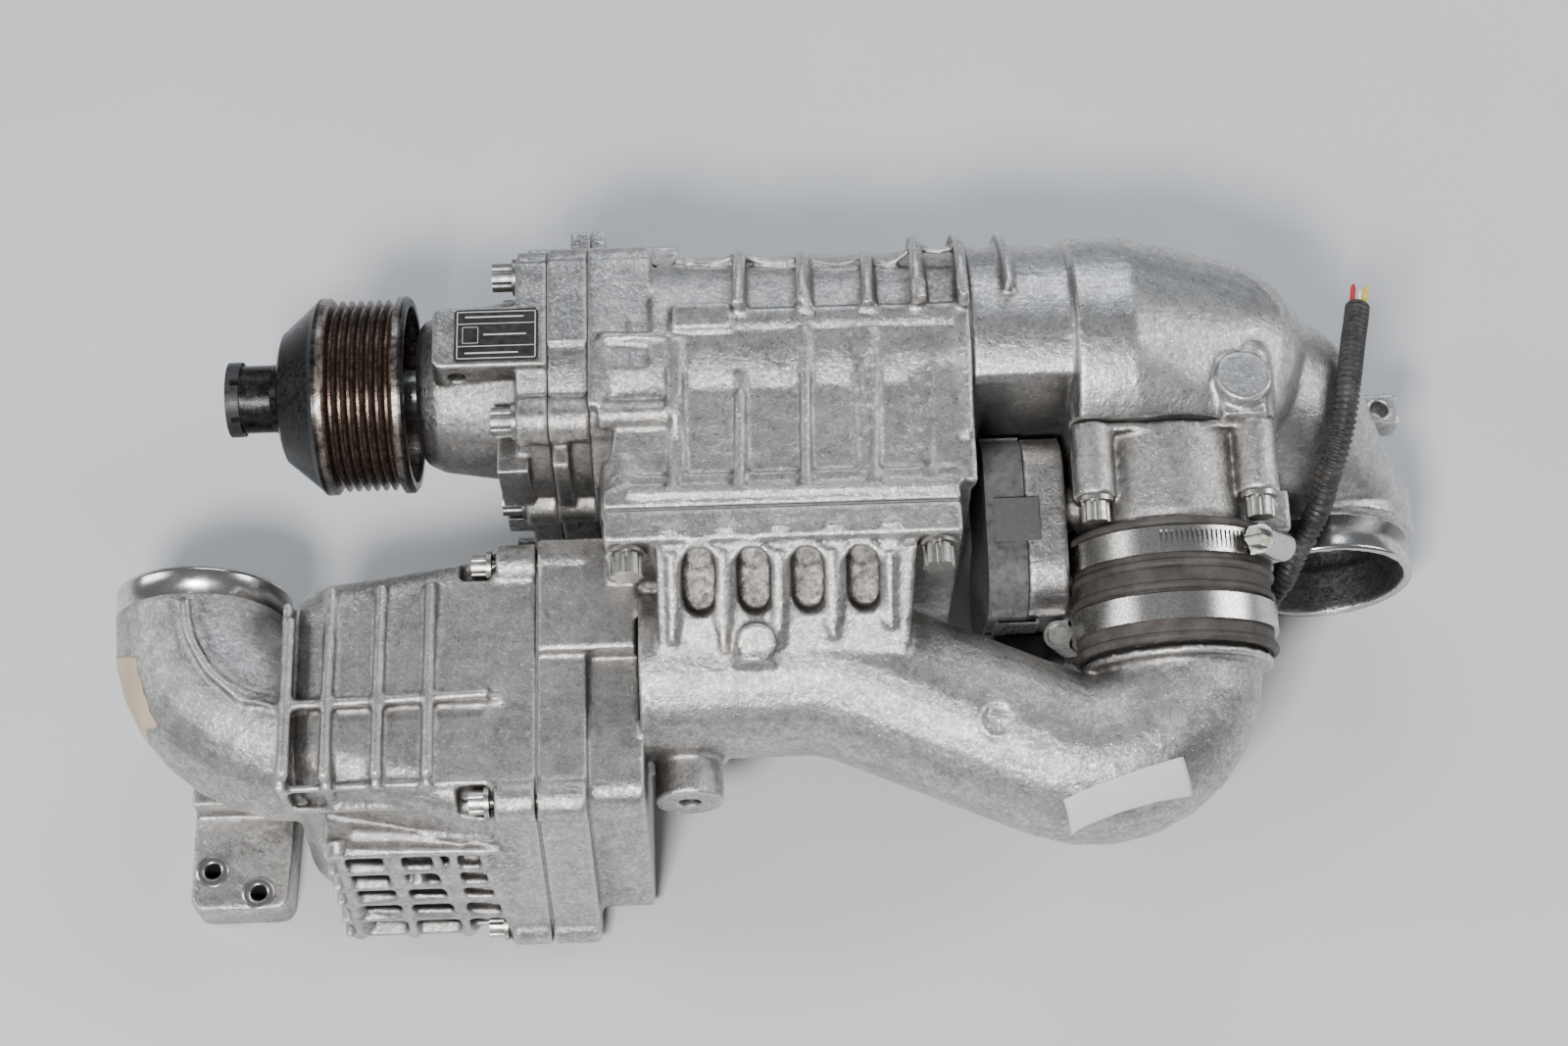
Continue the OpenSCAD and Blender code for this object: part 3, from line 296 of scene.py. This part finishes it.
def plastic(name, dark, light, rough=(0.35, 0.55), scale=420, grain=0.0001, dust=None):
    f = Finish(name)
    n = f.span(f.noise(scale, 4, 0.6), 0.35, 0.65)
    tone = f.mix(n, dark, light)
    if dust:
        tone = f.mix(f.span(f.noise(70, 5, 0.7), 0.48, 0.72, 0, 0.5), tone, dust)
    return f.finish(tone, f.span(n, 0, 1, rough[0], rough[1]), f.bump(f.noise(scale * 4, 2), grain, 0.4))


CAST = cast_metal("cast_aluminium", (0.25, 0.243, 0.237), (0.58, 0.565, 0.55), (0.06, 0.052, 0.045))
CAST_NOSE = cast_metal("cast_aluminium_nose", (0.2, 0.196, 0.192), (0.52, 0.505, 0.49), (0.05, 0.045, 0.04))
CAST_ELBOW = cast_metal("cast_aluminium_elbow", (0.32, 0.315, 0.31), (0.6, 0.592, 0.585),
                        (0.10, 0.092, 0.085), grain=0.7, shade_and_dirt_amount=0.8)
GASKET = plastic("gasket_fibre", (0.16, 0.16, 0.16), (0.26, 0.26, 0.26))
SEAL = plastic("seal_rubber", (0.02, 0.02, 0.02), (0.035, 0.035, 0.035))
HOSE = plastic("hose_rubber", (0.045, 0.04, 0.036), (0.075, 0.066, 0.06), (0.5, 0.68), 160, 0.0003,
               dust=(0.19, 0.17, 0.15))
COVER = plastic("actuator_plastic", (0.085, 0.088, 0.09), (0.15, 0.155, 0.16), (0.26, 0.42), 300, 0.0001,
                dust=(0.24, 0.23, 0.22))
CONNECTOR = plastic("connector_plastic", (0.025, 0.025, 0.027), (0.045, 0.045, 0.047))
LOOM = plastic("loom_plastic", (0.02, 0.02, 0.022), (0.05, 0.048, 0.046), (0.38, 0.6), 500, 0.0001,
               dust=(0.16, 0.14, 0.12))
SPRING = plain_metal("clamp_steel", (0.5, 0.49, 0.47), (0.72, 0.71, 0.69), (0.2, 0.34), 900, 0.00005,
                     shade_and_dirt_color=(0.12, 0.1, 0.08))
ZINC = plain_metal("zinc_plate", (0.42, 0.41, 0.38), (0.62, 0.61, 0.58), (0.26, 0.45), 420,
                   shade_and_dirt_color=(0.1, 0.09, 0.07))
DARK_BOLT = plain_metal("phosphate_steel", (0.2, 0.2, 0.2), (0.4, 0.4, 0.39), (0.32, 0.5), 420,
                        shade_and_dirt_color=(0.05, 0.05, 0.05))
STEEL = plain_metal("machined_steel", (0.4, 0.4, 0.4), (0.55, 0.55, 0.54))
BRASS = plain_metal("brass", (0.5, 0.36, 0.14), (0.62, 0.46, 0.2))
ROTOR = plain_metal("rotor_alloy", (0.5, 0.5, 0.5), (0.66, 0.66, 0.66), (0.3, 0.42), 120)
GEAR = plastic("gear_plastic", (0.6, 0.57, 0.5), (0.7, 0.67, 0.6))
PLATE = plastic("plate_black", (0.012, 0.012, 0.013), (0.03, 0.03, 0.03), (0.3, 0.5), 500)
WHITE = plastic("white_print", (0.6, 0.6, 0.58), (0.75, 0.75, 0.73))
PAPER = plastic("label_paper", (0.72, 0.73, 0.73), (0.82, 0.82, 0.82), (0.5, 0.7), 900)
TAPE = plastic("paper_tape", (0.52, 0.42, 0.3), (0.68, 0.58, 0.44), (0.6, 0.8), 140, 0.0004,
               dust=(0.3, 0.22, 0.15))


def pulley_finish():
    f = Finish("pulley_steel", metallic=0.8)
    y, z, x = f.axis("Y"), f.axis("Z"), f.axis("X")
    radius = f.math("SQRT", f.math("ADD", f.math("MULTIPLY", y, y), f.math("MULTIPLY", z, z)))
    along = f.math("ABSOLUTE", x)
    wear = f.span(f.noise(420, 6, 0.75, 0.5), 0.4, 0.68)
    black = f.mix(wear, (0.010, 0.010, 0.011), (0.045, 0.044, 0.043))
    worn = f.mix(f.span(f.noise(900, 5, 0.75), 0.36, 0.64), (0.035, 0.022, 0.017), (0.17, 0.115, 0.085))
    belt = f.math("MULTIPLY", f.span(along, 0.0150, 0.0158, 1, 0), f.span(radius, 0.030, 0.0325, 0, 1))
    tone = f.mix(f.math("MULTIPLY", belt, f.span(f.noise(60, 4, 0.6), 0.3, 0.6, 0.7, 1.0)), black, worn)
    shine = f.math("MULTIPLY", f.span(f.pointiness(), 0.52, 0.56), f.span(f.noise(300, 4), 0.35, 0.6))
    shine = f.math("MULTIPLY", shine, f.span(belt, 0, 1, 0.12, 1))
    tone = f.mix(f.math("MULTIPLY", shine, 0.45), tone, (0.55, 0.52, 0.49))
    return f.finish(tone, f.span(wear, 0, 1, 0.24, 0.46), f.bump(f.noise(1200, 4), 0.0002, 0.4))


PULLEY = pulley_finish()


def paint(obj, material):
    obj.data.materials.clear()
    obj.data.materials.append(material)
    return obj


def piece(name, bm, material, body, *replaced, slot=None, smooth=True):
    obj = paint(new_object(name, bm, smooth), material)
    return settle(obj, body, replaced)


def settle(obj, body, replaced=()):
    corners = np.empty(len(obj.data.vertices) * 3, dtype=np.float32)
    obj.data.vertices.foreach_get("co", corners)
    inside = np.clip(corners.reshape(-1, 3), CAD_BOX[0], CAD_BOX[1])
    obj.data.vertices.foreach_set("co", inside.ravel())
    obj.data.update()
    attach(obj, body)
    if replaced:
        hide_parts(*replaced)
    return obj


# ---------------------------------------------------------------- the conduit and its wires, on the CAD's route
ROUTE = [
    (269.2, -93.6, -59), (274.5, -93.7, -59.2), (280, -94.5, -61.5), (292, -95.5, -63.5),
    (306, -96, -64.5), (320, -95, -63), (332, -92, -59.5), (342, -87, -53), (350, -80, -45.5),
    (356.2, -74.3, -36.2), (359.8, -68.2, -26.8), (364.9, -60.9, -24.3), (367.7, -55.9, -21.8),
    (369.9, -51.5, -14), (371.5, -46, -7.6), (373.8, -40.5, -1.8), (376, -34, 2.2),
    (377.8, -27.3, 5.5), (379.4, -20, 7.7), (381, -12, 8.6), (383.5, -2, 7), (386.2, 8.7, 4.8),
    (388.7, 17.5, 2.6), (390.8, 25.5, 0.5),
]
CORRUGATION, CREST_SHARE, CREST_RADIUS, VALLEY_RADIUS = 2.5, 0.52, 4.95, 4.15
WIRE_RADIUS = 1.05
route = smooth_route(ROUTE, 0.5)
bm = bmesh.new()
run, radii = 0.0, []
for i, p in enumerate(route):
    run += (p - route[i - 1]).length if i else 0
    phase = (run % CORRUGATION) / CORRUGATION
    radii.append(CREST_RADIUS if phase < CREST_SHARE else VALLEY_RADIUS)
add_tube(bm, route_frames(route), radii, 24)
conduit = piece("loom_conduit", bm, LOOM, "housing", "conduit", slot="conduit_plastic")

end, side, up, ahead = route_frames([Vector(p) for p in ROUTE])[-1]
# Offsets aside and up in the conduit's end, bare length, colour
WIRES = [((-2.6, 1.4), 11, (0.5, 0.02, 0.02)), ((0.0, 2.4), 8, (0.8, 0.74, 0.62)),
         ((2.4, 1.0), 12, (0.85, 0.62, 0.04)), ((0.6, -2.4), 9, (0.8, 0.6, 0.05))]
for i, ((s, u), length, color) in enumerate(WIRES):
    start = end + s * side + u * up
    bend = (side * s + up * u).normalized() * 0.5
    pts = smooth_route([start, start + ahead * length * 0.5, start + ahead * length + bend * 0.4], 0.7)
    bm = bmesh.new()
    radii = [WIRE_RADIUS] * (len(pts) - 3) + [1.0, 0.62, 0.6]
    add_tube(bm, route_frames(pts), radii, 14)
    finish = plastic("wire_%d" % i, color, [min(1, c * 1.3) for c in color], (0.3, 0.5), 700)
    obj = piece("wire_%d" % i, bm, finish, "housing", *(["conduit_wires"] if i == 0 else []), slot="wires")


# ---------------------------------------------------------------- castings
def ridge(bm, points, r, rise=0.0):
    """A cast rib or bead along points on a surface, raised by rise; the remesh melts it in."""
    pts = smooth_route(points, RIDGE_STEP) if len(points) > 2 else [Vector(p) for p in points]
    pts = [p + Vector((0, 0, rise)) for p in pts]
    add_tube(bm, route_frames(pts), [r] * len(pts), RIDGE_SIDES)


def ridges(bm, lines, r):
    for line in lines:
        ridge(bm, line, r)


def casting(name, node, material, rounds, voxel=1.1, details=None):
    """A CAD casting with its cast details, remeshed so that every corner is soft."""
    bm = bmesh.new()
    bm.from_mesh(NODES[node].data)
    bmesh.ops.remove_doubles(bm, verts=bm.verts, dist=1e-6)
    if details:
        details(bm)
    obj = new_object(name, bm)
    m = obj.modifiers.new("soft", "REMESH")
    m.mode, m.voxel_size = "VOXEL", voxel * MM * 1
    m = obj.modifiers.new("fair", "SMOOTH")
    m.factor, m.iterations = 0.5, rounds
    apply_modifiers(obj)
    count = len(obj.data.polygons)
    if count > MOST_FACES:
        m = obj.modifiers.new("thin", "DECIMATE")
        m.ratio = MOST_FACES / count
        apply_modifiers(obj)
    paint(obj, material)
    return settle(obj, "housing", [node])


def rotor_details(bm):
    crown = [[(146.4, 34.5, 41.5), (145.8, 23.4, 49.5), (145.2, 13.4, 52.8), (144.6, 5.0, 53.6)],
             [(169.9, 32.0, 42), (169.5, 21.1, 49), (169.2, 13.6, 51.5), (169.0, 7.2, 50.5)],
             [(194.8, 31.5, 41), (194.1, 21.3, 47.5), (193.8, 12.6, 50.5), (193.6, 5.0, 51)],
             [(213.1, 34, 46), (212.4, 21.0, 52.8), (212.2, 11.4, 54.0), (212.4, 5.0, 50.5)],
             [(229.9, 33, 47), (229.3, 19.8, 53.8), (229.2, 9.3, 54.6), (230.1, 4.5, 50)]]
    ridges(bm, crown, 2.4)
    feet = [(121, 36, 38)] + [rib[0] for rib in crown]
    for a, b in zip(feet, feet[1:]):
        mid = ((a[0] + b[0]) / 2, a[1] - 3, (a[2] + b[2]) / 2 - 0.5)
        ridge(bm, [a, mid, b], 1.4, rise=-1.2)
    panel = [[(122.2, -4.4, 46.5), (121.7, -13.9, 45.1), (121.3, -27, 43.6)],
             [(120.8, -34.0, 43), (120.0, -41.6, 38.5), (119.2, -51.5, 37), (118.6, -62.3, 37.6)],
             [(144.8, -26, 42.0), (144.5, -33.4, 41.3), (144.0, -43.4, 39.5), (143.2, -63.0, 38.0)],
             [(169.7, -2.9, 46.6), (169.2, -23.9, 43.4), (168.5, -43.7, 39.9), (167.8, -63.0, 38.0)],
             [(195.1, -3.6, 46.4), (194.8, -23.5, 41.6), (194.2, -43.0, 38.2), (193.2, -62.7, 37.6)],
             [(230.0, -9, 46.5), (229.9, -25.4, 42.1), (229.1, -44.6, 38.7)]]
    ridges(bm, panel, 2.1)
    ridge(bm, [(216.4, -4.3, 46.4), (215.7, -24.9, 42.2), (215.0, -44.1, 38.8), (214.4, -60, 37.6)], 0.8)
    ridge(bm, [(102.0, -64.6, 38.0), (160, -64.9, 38.0), (223.0, -65.2, 38.0)], 1.7)
    ridges(bm, [[(92.9, -2.1, 45), (118.9, -3.6, 46.6)], [(119.2, -4.0, 46.6), (119.1, -30.3, 43.5)],
                [(93.2, -3, 44.8), (93.2, -28.2, 41)]], 1.8)
    add_rod(bm, (91.5, -31.8, 38.6), (119.6, -31.8, 38.6), 5.2)


def silencer_details(bm):
    for y0, z0, y1, z1, x in ((-93.3, -2.5, -156.8, -1.8, -27.3), (-80.1, -6.2, -158.1, -1.8, -12.1),
                              (-80.3, -4.5, -157.6, -1.8, 6.8), (-80, -3.9, -158.3, -1.8, 25.5)):
        ridge(bm, [(x, y0, z0), (x, (y0 + y1) / 2, -1.8), (x, y1, z1)], 2.3, rise=1.8)
    ridge(bm, [(-29.7, -128.7, -1.8), (10, -127.5, -1.6), (47.6, -126.2, -1.4)], 2.1, rise=1.3)
    ridge(bm, [(-68.6, -81, -9), (-67.6, -87.9, -9), (-66.6, -94.8, -9), (-62.7, -102.3, -9),
               (-58.8, -109.8, -9), (-52.2, -116, -9), (-46, -121.4, -10), (-38.6, -123.7, -8),
               (-29.7, -128.7, -2.5)], 1.2)
    ridge(bm, [(-26.7, -158.6, -8), (10, -159, -6), (47.7, -159.3, -4)], 1.6)
    ridge(bm, [(-26.7, -160.8, -24.1), (10.8, -164, -15.3), (46.8, -164.5, -14.1)], 1.7)
    ridge(bm, [(-5.4, -168.9, -28.6), (21.1, -171, -28.6), (48.2, -174.9, -23.2)], 1.7)
    rows = [[(-18, -170.5, -31), (-12.2, -175.6, -29.2), (2.4, -176.4, -28.8), (31.7, -177.6, -28.4),
             (56, -177.4, -32)],
            [(-17.5, -173, -40.5), (-10, -177.4, -40.1), (15.6, -179.2, -40.1), (56.0, -180.3, -41)],
            [(-16.5, -176, -51.6), (-9.5, -179.8, -51.6), (14.2, -181.4, -51.6), (55.1, -182.8, -51.1)],
            [(-15.5, -179, -63.1), (-9, -182.4, -63.1), (12.8, -184.0, -62), (52.4, -185.4, -61)],
            [(-15, -182, -74.6), (-8.5, -184.8, -74.6), (12.3, -186.4, -73), (47.4, -186.9, -74.6)],
            [(-15, -186.4, -85), (-2.5, -187, -86.1), (25.2, -188, -86.1), (45, -188.5, -85)]]
    ridges(bm, rows, 1.5)
    cols = [[(-12.3, -174.6, -29.6), (-9.6, -180.5, -46), (-7.5, -185.6, -74.6), (-6, -188, -88)],
            [(5.9, -174.5, -29.4), (8.2, -180.5, -46), (10.6, -186.6, -74), (12, -188.6, -88)],
            [(24.2, -175.2, -29.2), (27.3, -181.6, -46), (30.5, -187.0, -74), (32, -189.2, -88)],
            [(42.5, -175.8, -29.4), (45.1, -181.6, -46), (48.5, -187.3, -74), (49.6, -188.9, -84)]]
    ridges(bm, cols, 2.1)
    add_rod(bm, (-10.4, -176.4, -29.6), (-10.8, -172, -27), 3.4)
    add_rod(bm, (17.2, -183.4, -51.6), (17.0, -178, -50), 3.4)


def manifold_details(bm):
    rims = [[(118.5, -109.6, 17.5), (119.3, -99.7, 24.3), (120.1, -90.4, 30.6), (122.6, -85.5, 34),
             (125.6, -84.6, 35), (128.1, -84.5, 35.2), (130.6, -84.8, 34.8), (133.4, -86.5, 33.4),
             (134.8, -91.3, 29.7), (134.4, -100.1, 24), (134, -110, 17.2)],
            [(137.3, -110.1, 17.2), (138.2, -100.2, 23.9), (139.1, -90.8, 30.2), (141.4, -87.0, 33),
             (144.7, -84.9, 34.2), (147.3, -84.7, 34.4), (150, -84.9, 34.2), (153.4, -87, 32.6),
             (155.3, -91.6, 29.6), (155.1, -100.7, 23.6), (154.9, -110.6, 16.8)],
            [(157.5, -110.6, 16.8), (158.2, -100.8, 23.6), (158.9, -91.4, 29.9), (161.2, -87.6, 32.6),
             (164.3, -85.1, 33.6), (167.1, -84.8, 33.8), (170, -85.1, 33.6), (173.2, -87.4, 32),
             (174.7, -91.8, 29.4), (174.6, -101.0, 22.9), (174.5, -111.1, 16.5)],
            [(178.1, -109.7, 17.5), (178.8, -100.6, 23.7), (179.4, -91.8, 29.6), (181.5, -87.8, 32.4),
             (184.6, -85.2, 33.4), (187.4, -84.9, 33.6), (190.2, -85.3, 33.4), (193.6, -87.6, 31.6),
             (195.1, -92, 28), (195.1, -100.1, 22), (195.1, -110.1, 17.1)]]
    ridges(bm, rims, 1.5)
    ribs = [[(117.4, -86.5, 33.7), (117.1, -104.7, 20.9), (116.9, -114.4, 14.2)],
            [(136.2, -86.5, 33.6), (136.0, -107.0, 19.3), (135.9, -117.6, 12.0)],
            [(156.6, -87, 33.2), (156.5, -106.4, 19.7), (156.6, -116.4, 12.8)],
            [(176.5, -87.3, 32.9), (176.5, -105.1, 20.6), (176.6, -114.2, 14.4)],
            [(198.0, -88, 32.4), (197.8, -103.6, 21.6), (197.9, -111.7, 16.1)]]
    ridges(bm, ribs, 1.9)
    add_rod(bm, (147.9, -117.6, 19.6), (147.9, -111, 9), 7.4, 6.2)
    add_rod(bm, (108.6, -80, -2.5), (108.6, -85.8, -2.5), 3.4)
    turns = [2 * math.pi * k / 24 for k in range(25)]
    circle = [(235.4 + 6.4 * math.cos(t), -145.4 + 6.4 * math.sin(t), 6.7 + 1.8 * math.sin(t)) for t in turns]
    ridge(bm, circle, 0.9)
    ridge(bm, [(133.8, -146.3, -28), (137.5, -144.2, -19), (152.8, -144.2, -13.8), (168.7, -143.4, -9.7)], 1.6)


def elbow_details(bm):
    add_rod(bm, (334.5, -23, 38.5), (334.5, -23, 10), 10.5, 12)
    add_box(bm, (326, 343), (-37, -24), (4, 33))
    ridge(bm, [(243.5, 19.8, 43.6), (253.0, 19.2, 43.7), (263.8, 18.6, 43.8)], 0.9)


casting("nose_casting", "nose_housing", CAST_NOSE, 4, voxel=0.9)
casting("bearing_plate_casting", "bearing_plate", CAST_NOSE, 4, voxel=0.9)
casting("rotor_casting", "rotor_housing", CAST, 4, details=rotor_details)
casting("elbow_casting", "intake_elbow", CAST_ELBOW, 5, details=elbow_details)
casting("flap_casting", "flap_housing", CAST, 4)
manifold = casting("manifold_casting", "outlet_manifold", CAST, 5, details=manifold_details)
silencer = casting("silencer_casting", "silencer_cover", CAST, 4, details=silencer_details)


# ---------------------------------------------------------------- labels, machined rings and small parts
def decal(name, target, corners, material, lift=0.25, n=24, ragged=0.0, drop=True):
    """A thin label laid on a casting, dropped onto it from above or pulled to its nearest points."""
    tree = BVHTree.FromObject(target, bpy.context.evaluated_depsgraph_get())
    a, b, c, d = [Vector(p) for p in corners]
    bm = bmesh.new()
    rows = []
    for i in range(n + 1):
        row = []
        for j in range(n + 1):
            u, v = i / n, j / n
            if ragged:
                u += ragged * math.sin(9 * v + 3) * (1 - u) + 0.4 * ragged * math.sin(23 * v) * u
                v += ragged * math.sin(7 * u + 1) * v
            p = (a * (1 - u) + b * u) * (1 - v) + (d * (1 - u) + c * u) * v
            hit, normal, _, _ = tree.ray_cast((p + Vector((0, 0, 40))) * MM, Vector((0, 0, -1)))
            if hit is None or not drop:
                hit, normal, _, _ = tree.find_nearest(p * MM)
            row.append((hit, normal))
        rows.append(row)
    top = [[bm.verts.new(h + m * lift * MM) for h, m in row] for row in rows]
    low = [[bm.verts.new(h - m * 0.3 * MM) for h, m in row] for row in rows]
    for i in range(n):
        for j in range(n):
            bm.faces.new((top[i][j], top[i + 1][j], top[i + 1][j + 1], top[i][j + 1]))
            bm.faces.new((low[i][j], low[i][j + 1], low[i + 1][j + 1], low[i + 1][j]))
    edge = [(i, 0) for i in range(n)] + [(n, j) for j in range(n)]
    edge += [(i, n) for i in range(n, 0, -1)] + [(0, j) for j in range(n, 0, -1)]
    for (i, j), (k, m) in zip(edge, edge[1:] + edge[:1]):
        bm.faces.new((top[i][j], low[i][j], low[k][m], top[k][m]))
    return piece(name, bm, material, "housing")


MACHINED = plain_metal("machined_aluminium", (0.5, 0.49, 0.48), (0.74, 0.73, 0.71), (0.16, 0.28), 240, 0.00005)
decal("pipe_label", manifold,
      [(258.6, -173.2, 0), (302.9, -160.4, 0), (307.4, -171.0, 0), (262.3, -181.6, 0)], PAPER)
decal("tape_scrap", silencer,
      [(-101, -91, -38), (-90, -99, -19), (-84, -127, -22), (-93, -129, -40)], TAPE, 0.3, 20, 0.05, drop=False)

plate_z = max(v.co.z for v in NODES["nameplate"].data.vertices) / MM
print_z = (plate_z - 0.2, plate_z + 0.05)
bm = bmesh.new()
x0, x1, y0, y1 = 38.9, 68.6, -9.6, 10.6
border = 0.35
frame_lines = [((x0, x1), (y1 - border, y1)), ((x0, x1), (y0, y0 + border)),
               ((x0, x0 + border), (y0, y1)), ((x1 - border, x1), (y0, y1)),
               ((x0, x1), (5.2, 5.5)), ((x0, x1), (-4.4, -4.1)),
               ((41, 47), (-3, -2.8)), ((41, 47), (3.8, 4)), ((41, 41.2), (-3, 4)), ((46.8, 47), (-3, 4))]
bars = [((x, x + length), (y - 0.3, y + 0.3))
        for x, y, length in ((42, 8.2, 22), (49, 0.6, 16), (42, -7.2, 20))]
for x, y in frame_lines + bars:
    add_box(bm, x, y, print_z)
piece("nameplate_lines", bm, WHITE, "housing", smooth=False, slot="nameplate")

bm = bmesh.new()
to_z = Matrix.Rotation(math.radians(-90), 4, "Y")
FOOT_TOP = -81.95
for x, y in ((-68, -165), (-49.5, -174.4)):
    add_lathe(bm, [(0, 3.35), (0.12, 3.5), (0.16, 6.4), (0, 6.6), (0, 3.35)],
              Matrix.Translation((x, y, FOOT_TOP)) @ to_z, 48)
piece("foot_washers", bm, MACHINED, "housing", slot="cast_aluminium")

to_y = Matrix.Rotation(math.radians(90), 4, "Z")
bm = bmesh.new()
ring = [(0, 32.9), (0, 34.75), (1.4, 34.95), (2.2, 34.7), (14.5, 34.7), (14.5, 34.2), (2, 34.2), (1, 32.9),
        (0, 32.9)]
add_lathe(bm, ring, Matrix.Translation((378, -66.05, -62)) @ to_y)
piece("inlet_band", bm, MACHINED, "housing", slot="cast_aluminium")
bm = bmesh.new()
ring = [(0, 31.6), (0, 33.9), (-1.6, 34.2), (-2.6, 33.75), (-11, 33.7), (-11, 33.0), (-2, 33.0), (-1, 31.6),
        (0, 31.6)]
add_lathe(bm, ring, Matrix.Translation((-69, -65.95, -44)) @ to_y)
piece("outlet_band", bm, MACHINED, "housing", slot="cast_aluminium")

# ---------------------------------------------------------------- finishes on the CAD nodes that stay
KEEP = {
    PLATE: ["nameplate"], GASKET: ["outlet_gasket", "intake_gasket", "silencer_gasket"],
    SEAL: ["flap_seal", "nose_seal", "rotor_seals", "coupling_isolator"], HOSE: ["coupling_hose"],
    COVER: ["actuator_cover"], CONNECTOR: ["actuator_connector", "hub_cap_ring"],
    SPRING: ["actuator_clips", "upper_clamp_band", "lower_clamp_band", "clamp_screw_housings"],
    ZINC: ["clamp_screws", "manifold_bolts", "flap_housing_bolts", "elbow_bolts", "silencer_bolts", "oil_plug"],
    DARK_BOLT: ["nose_bolts"], PULLEY: ["pulley"], BRASS: ["flap_plate", "motor_pinion"],
    STEEL: ["actuator_motor", "flap_shaft", "flap_screws", "reduction_gear_pin", "input_shaft", "nose_bearings",
            "coupling_hub", "drive_gear", "driven_gear", "drive_rotor_shaft", "driven_rotor_shaft",
            "rotor_front_bearings", "rotor_rear_bearings", "resonator_tube"],
    ROTOR: ["drive_rotor", "driven_rotor"], GEAR: ["sector_gear", "reduction_gear"],
}
for material, names in KEEP.items():
    for n in names:
        paint(NODES[n], material)


# ---------------------------------------------------------------- floor and lights
bpy.ops.mesh.primitive_plane_add(size=30, location=(0.16, 0, -0.1022))
floor = bpy.context.object
floor.name = "floor"
ground = Finish("floor_paper", roughness=0.75)
shade = ground.span(ground.noise(3, 3), 0.3, 0.7)
paint(floor, ground.finish(ground.mix(shade, (0.72, 0.74, 0.77), (0.78, 0.8, 0.82))))


def lamp(name, at, target, size, power, tint=(1, 1, 1)):
    light = bpy.data.lights.new(name, "AREA")
    light.shape, light.size, light.size_y = "RECTANGLE", size[0], size[1]
    light.energy, light.color = power, tint
    obj = bpy.data.objects.new(name, light)
    SCENE.collection.objects.link(obj)
    obj.location = at
    look_at(obj, target)


lamp("key", (-0.10, -0.85, 1.05), (0.16, -0.05, 0), (0.28, 0.22), 19, (1, 0.985, 0.965))
lamp("back", (0.3, 1.0, 0.85), (0.16, 0.0, 0), (0.9, 0.3), 6.5, (0.86, 0.92, 1))
lamp("left", (-0.95, 0.0, 0.55), (0.05, -0.05, 0), (0.3, 0.6), 3.5)
lamp("right", (1.25, 0.1, 0.6), (0.25, -0.05, 0), (0.3, 0.6), 5)
world = bpy.data.worlds.new("studio")
SCENE.world = world
world.use_nodes = True
background = world.node_tree.nodes["Background"]
background.inputs["Color"].default_value = (0.80, 0.84, 0.9, 1)
background.inputs["Strength"].default_value = 0.2
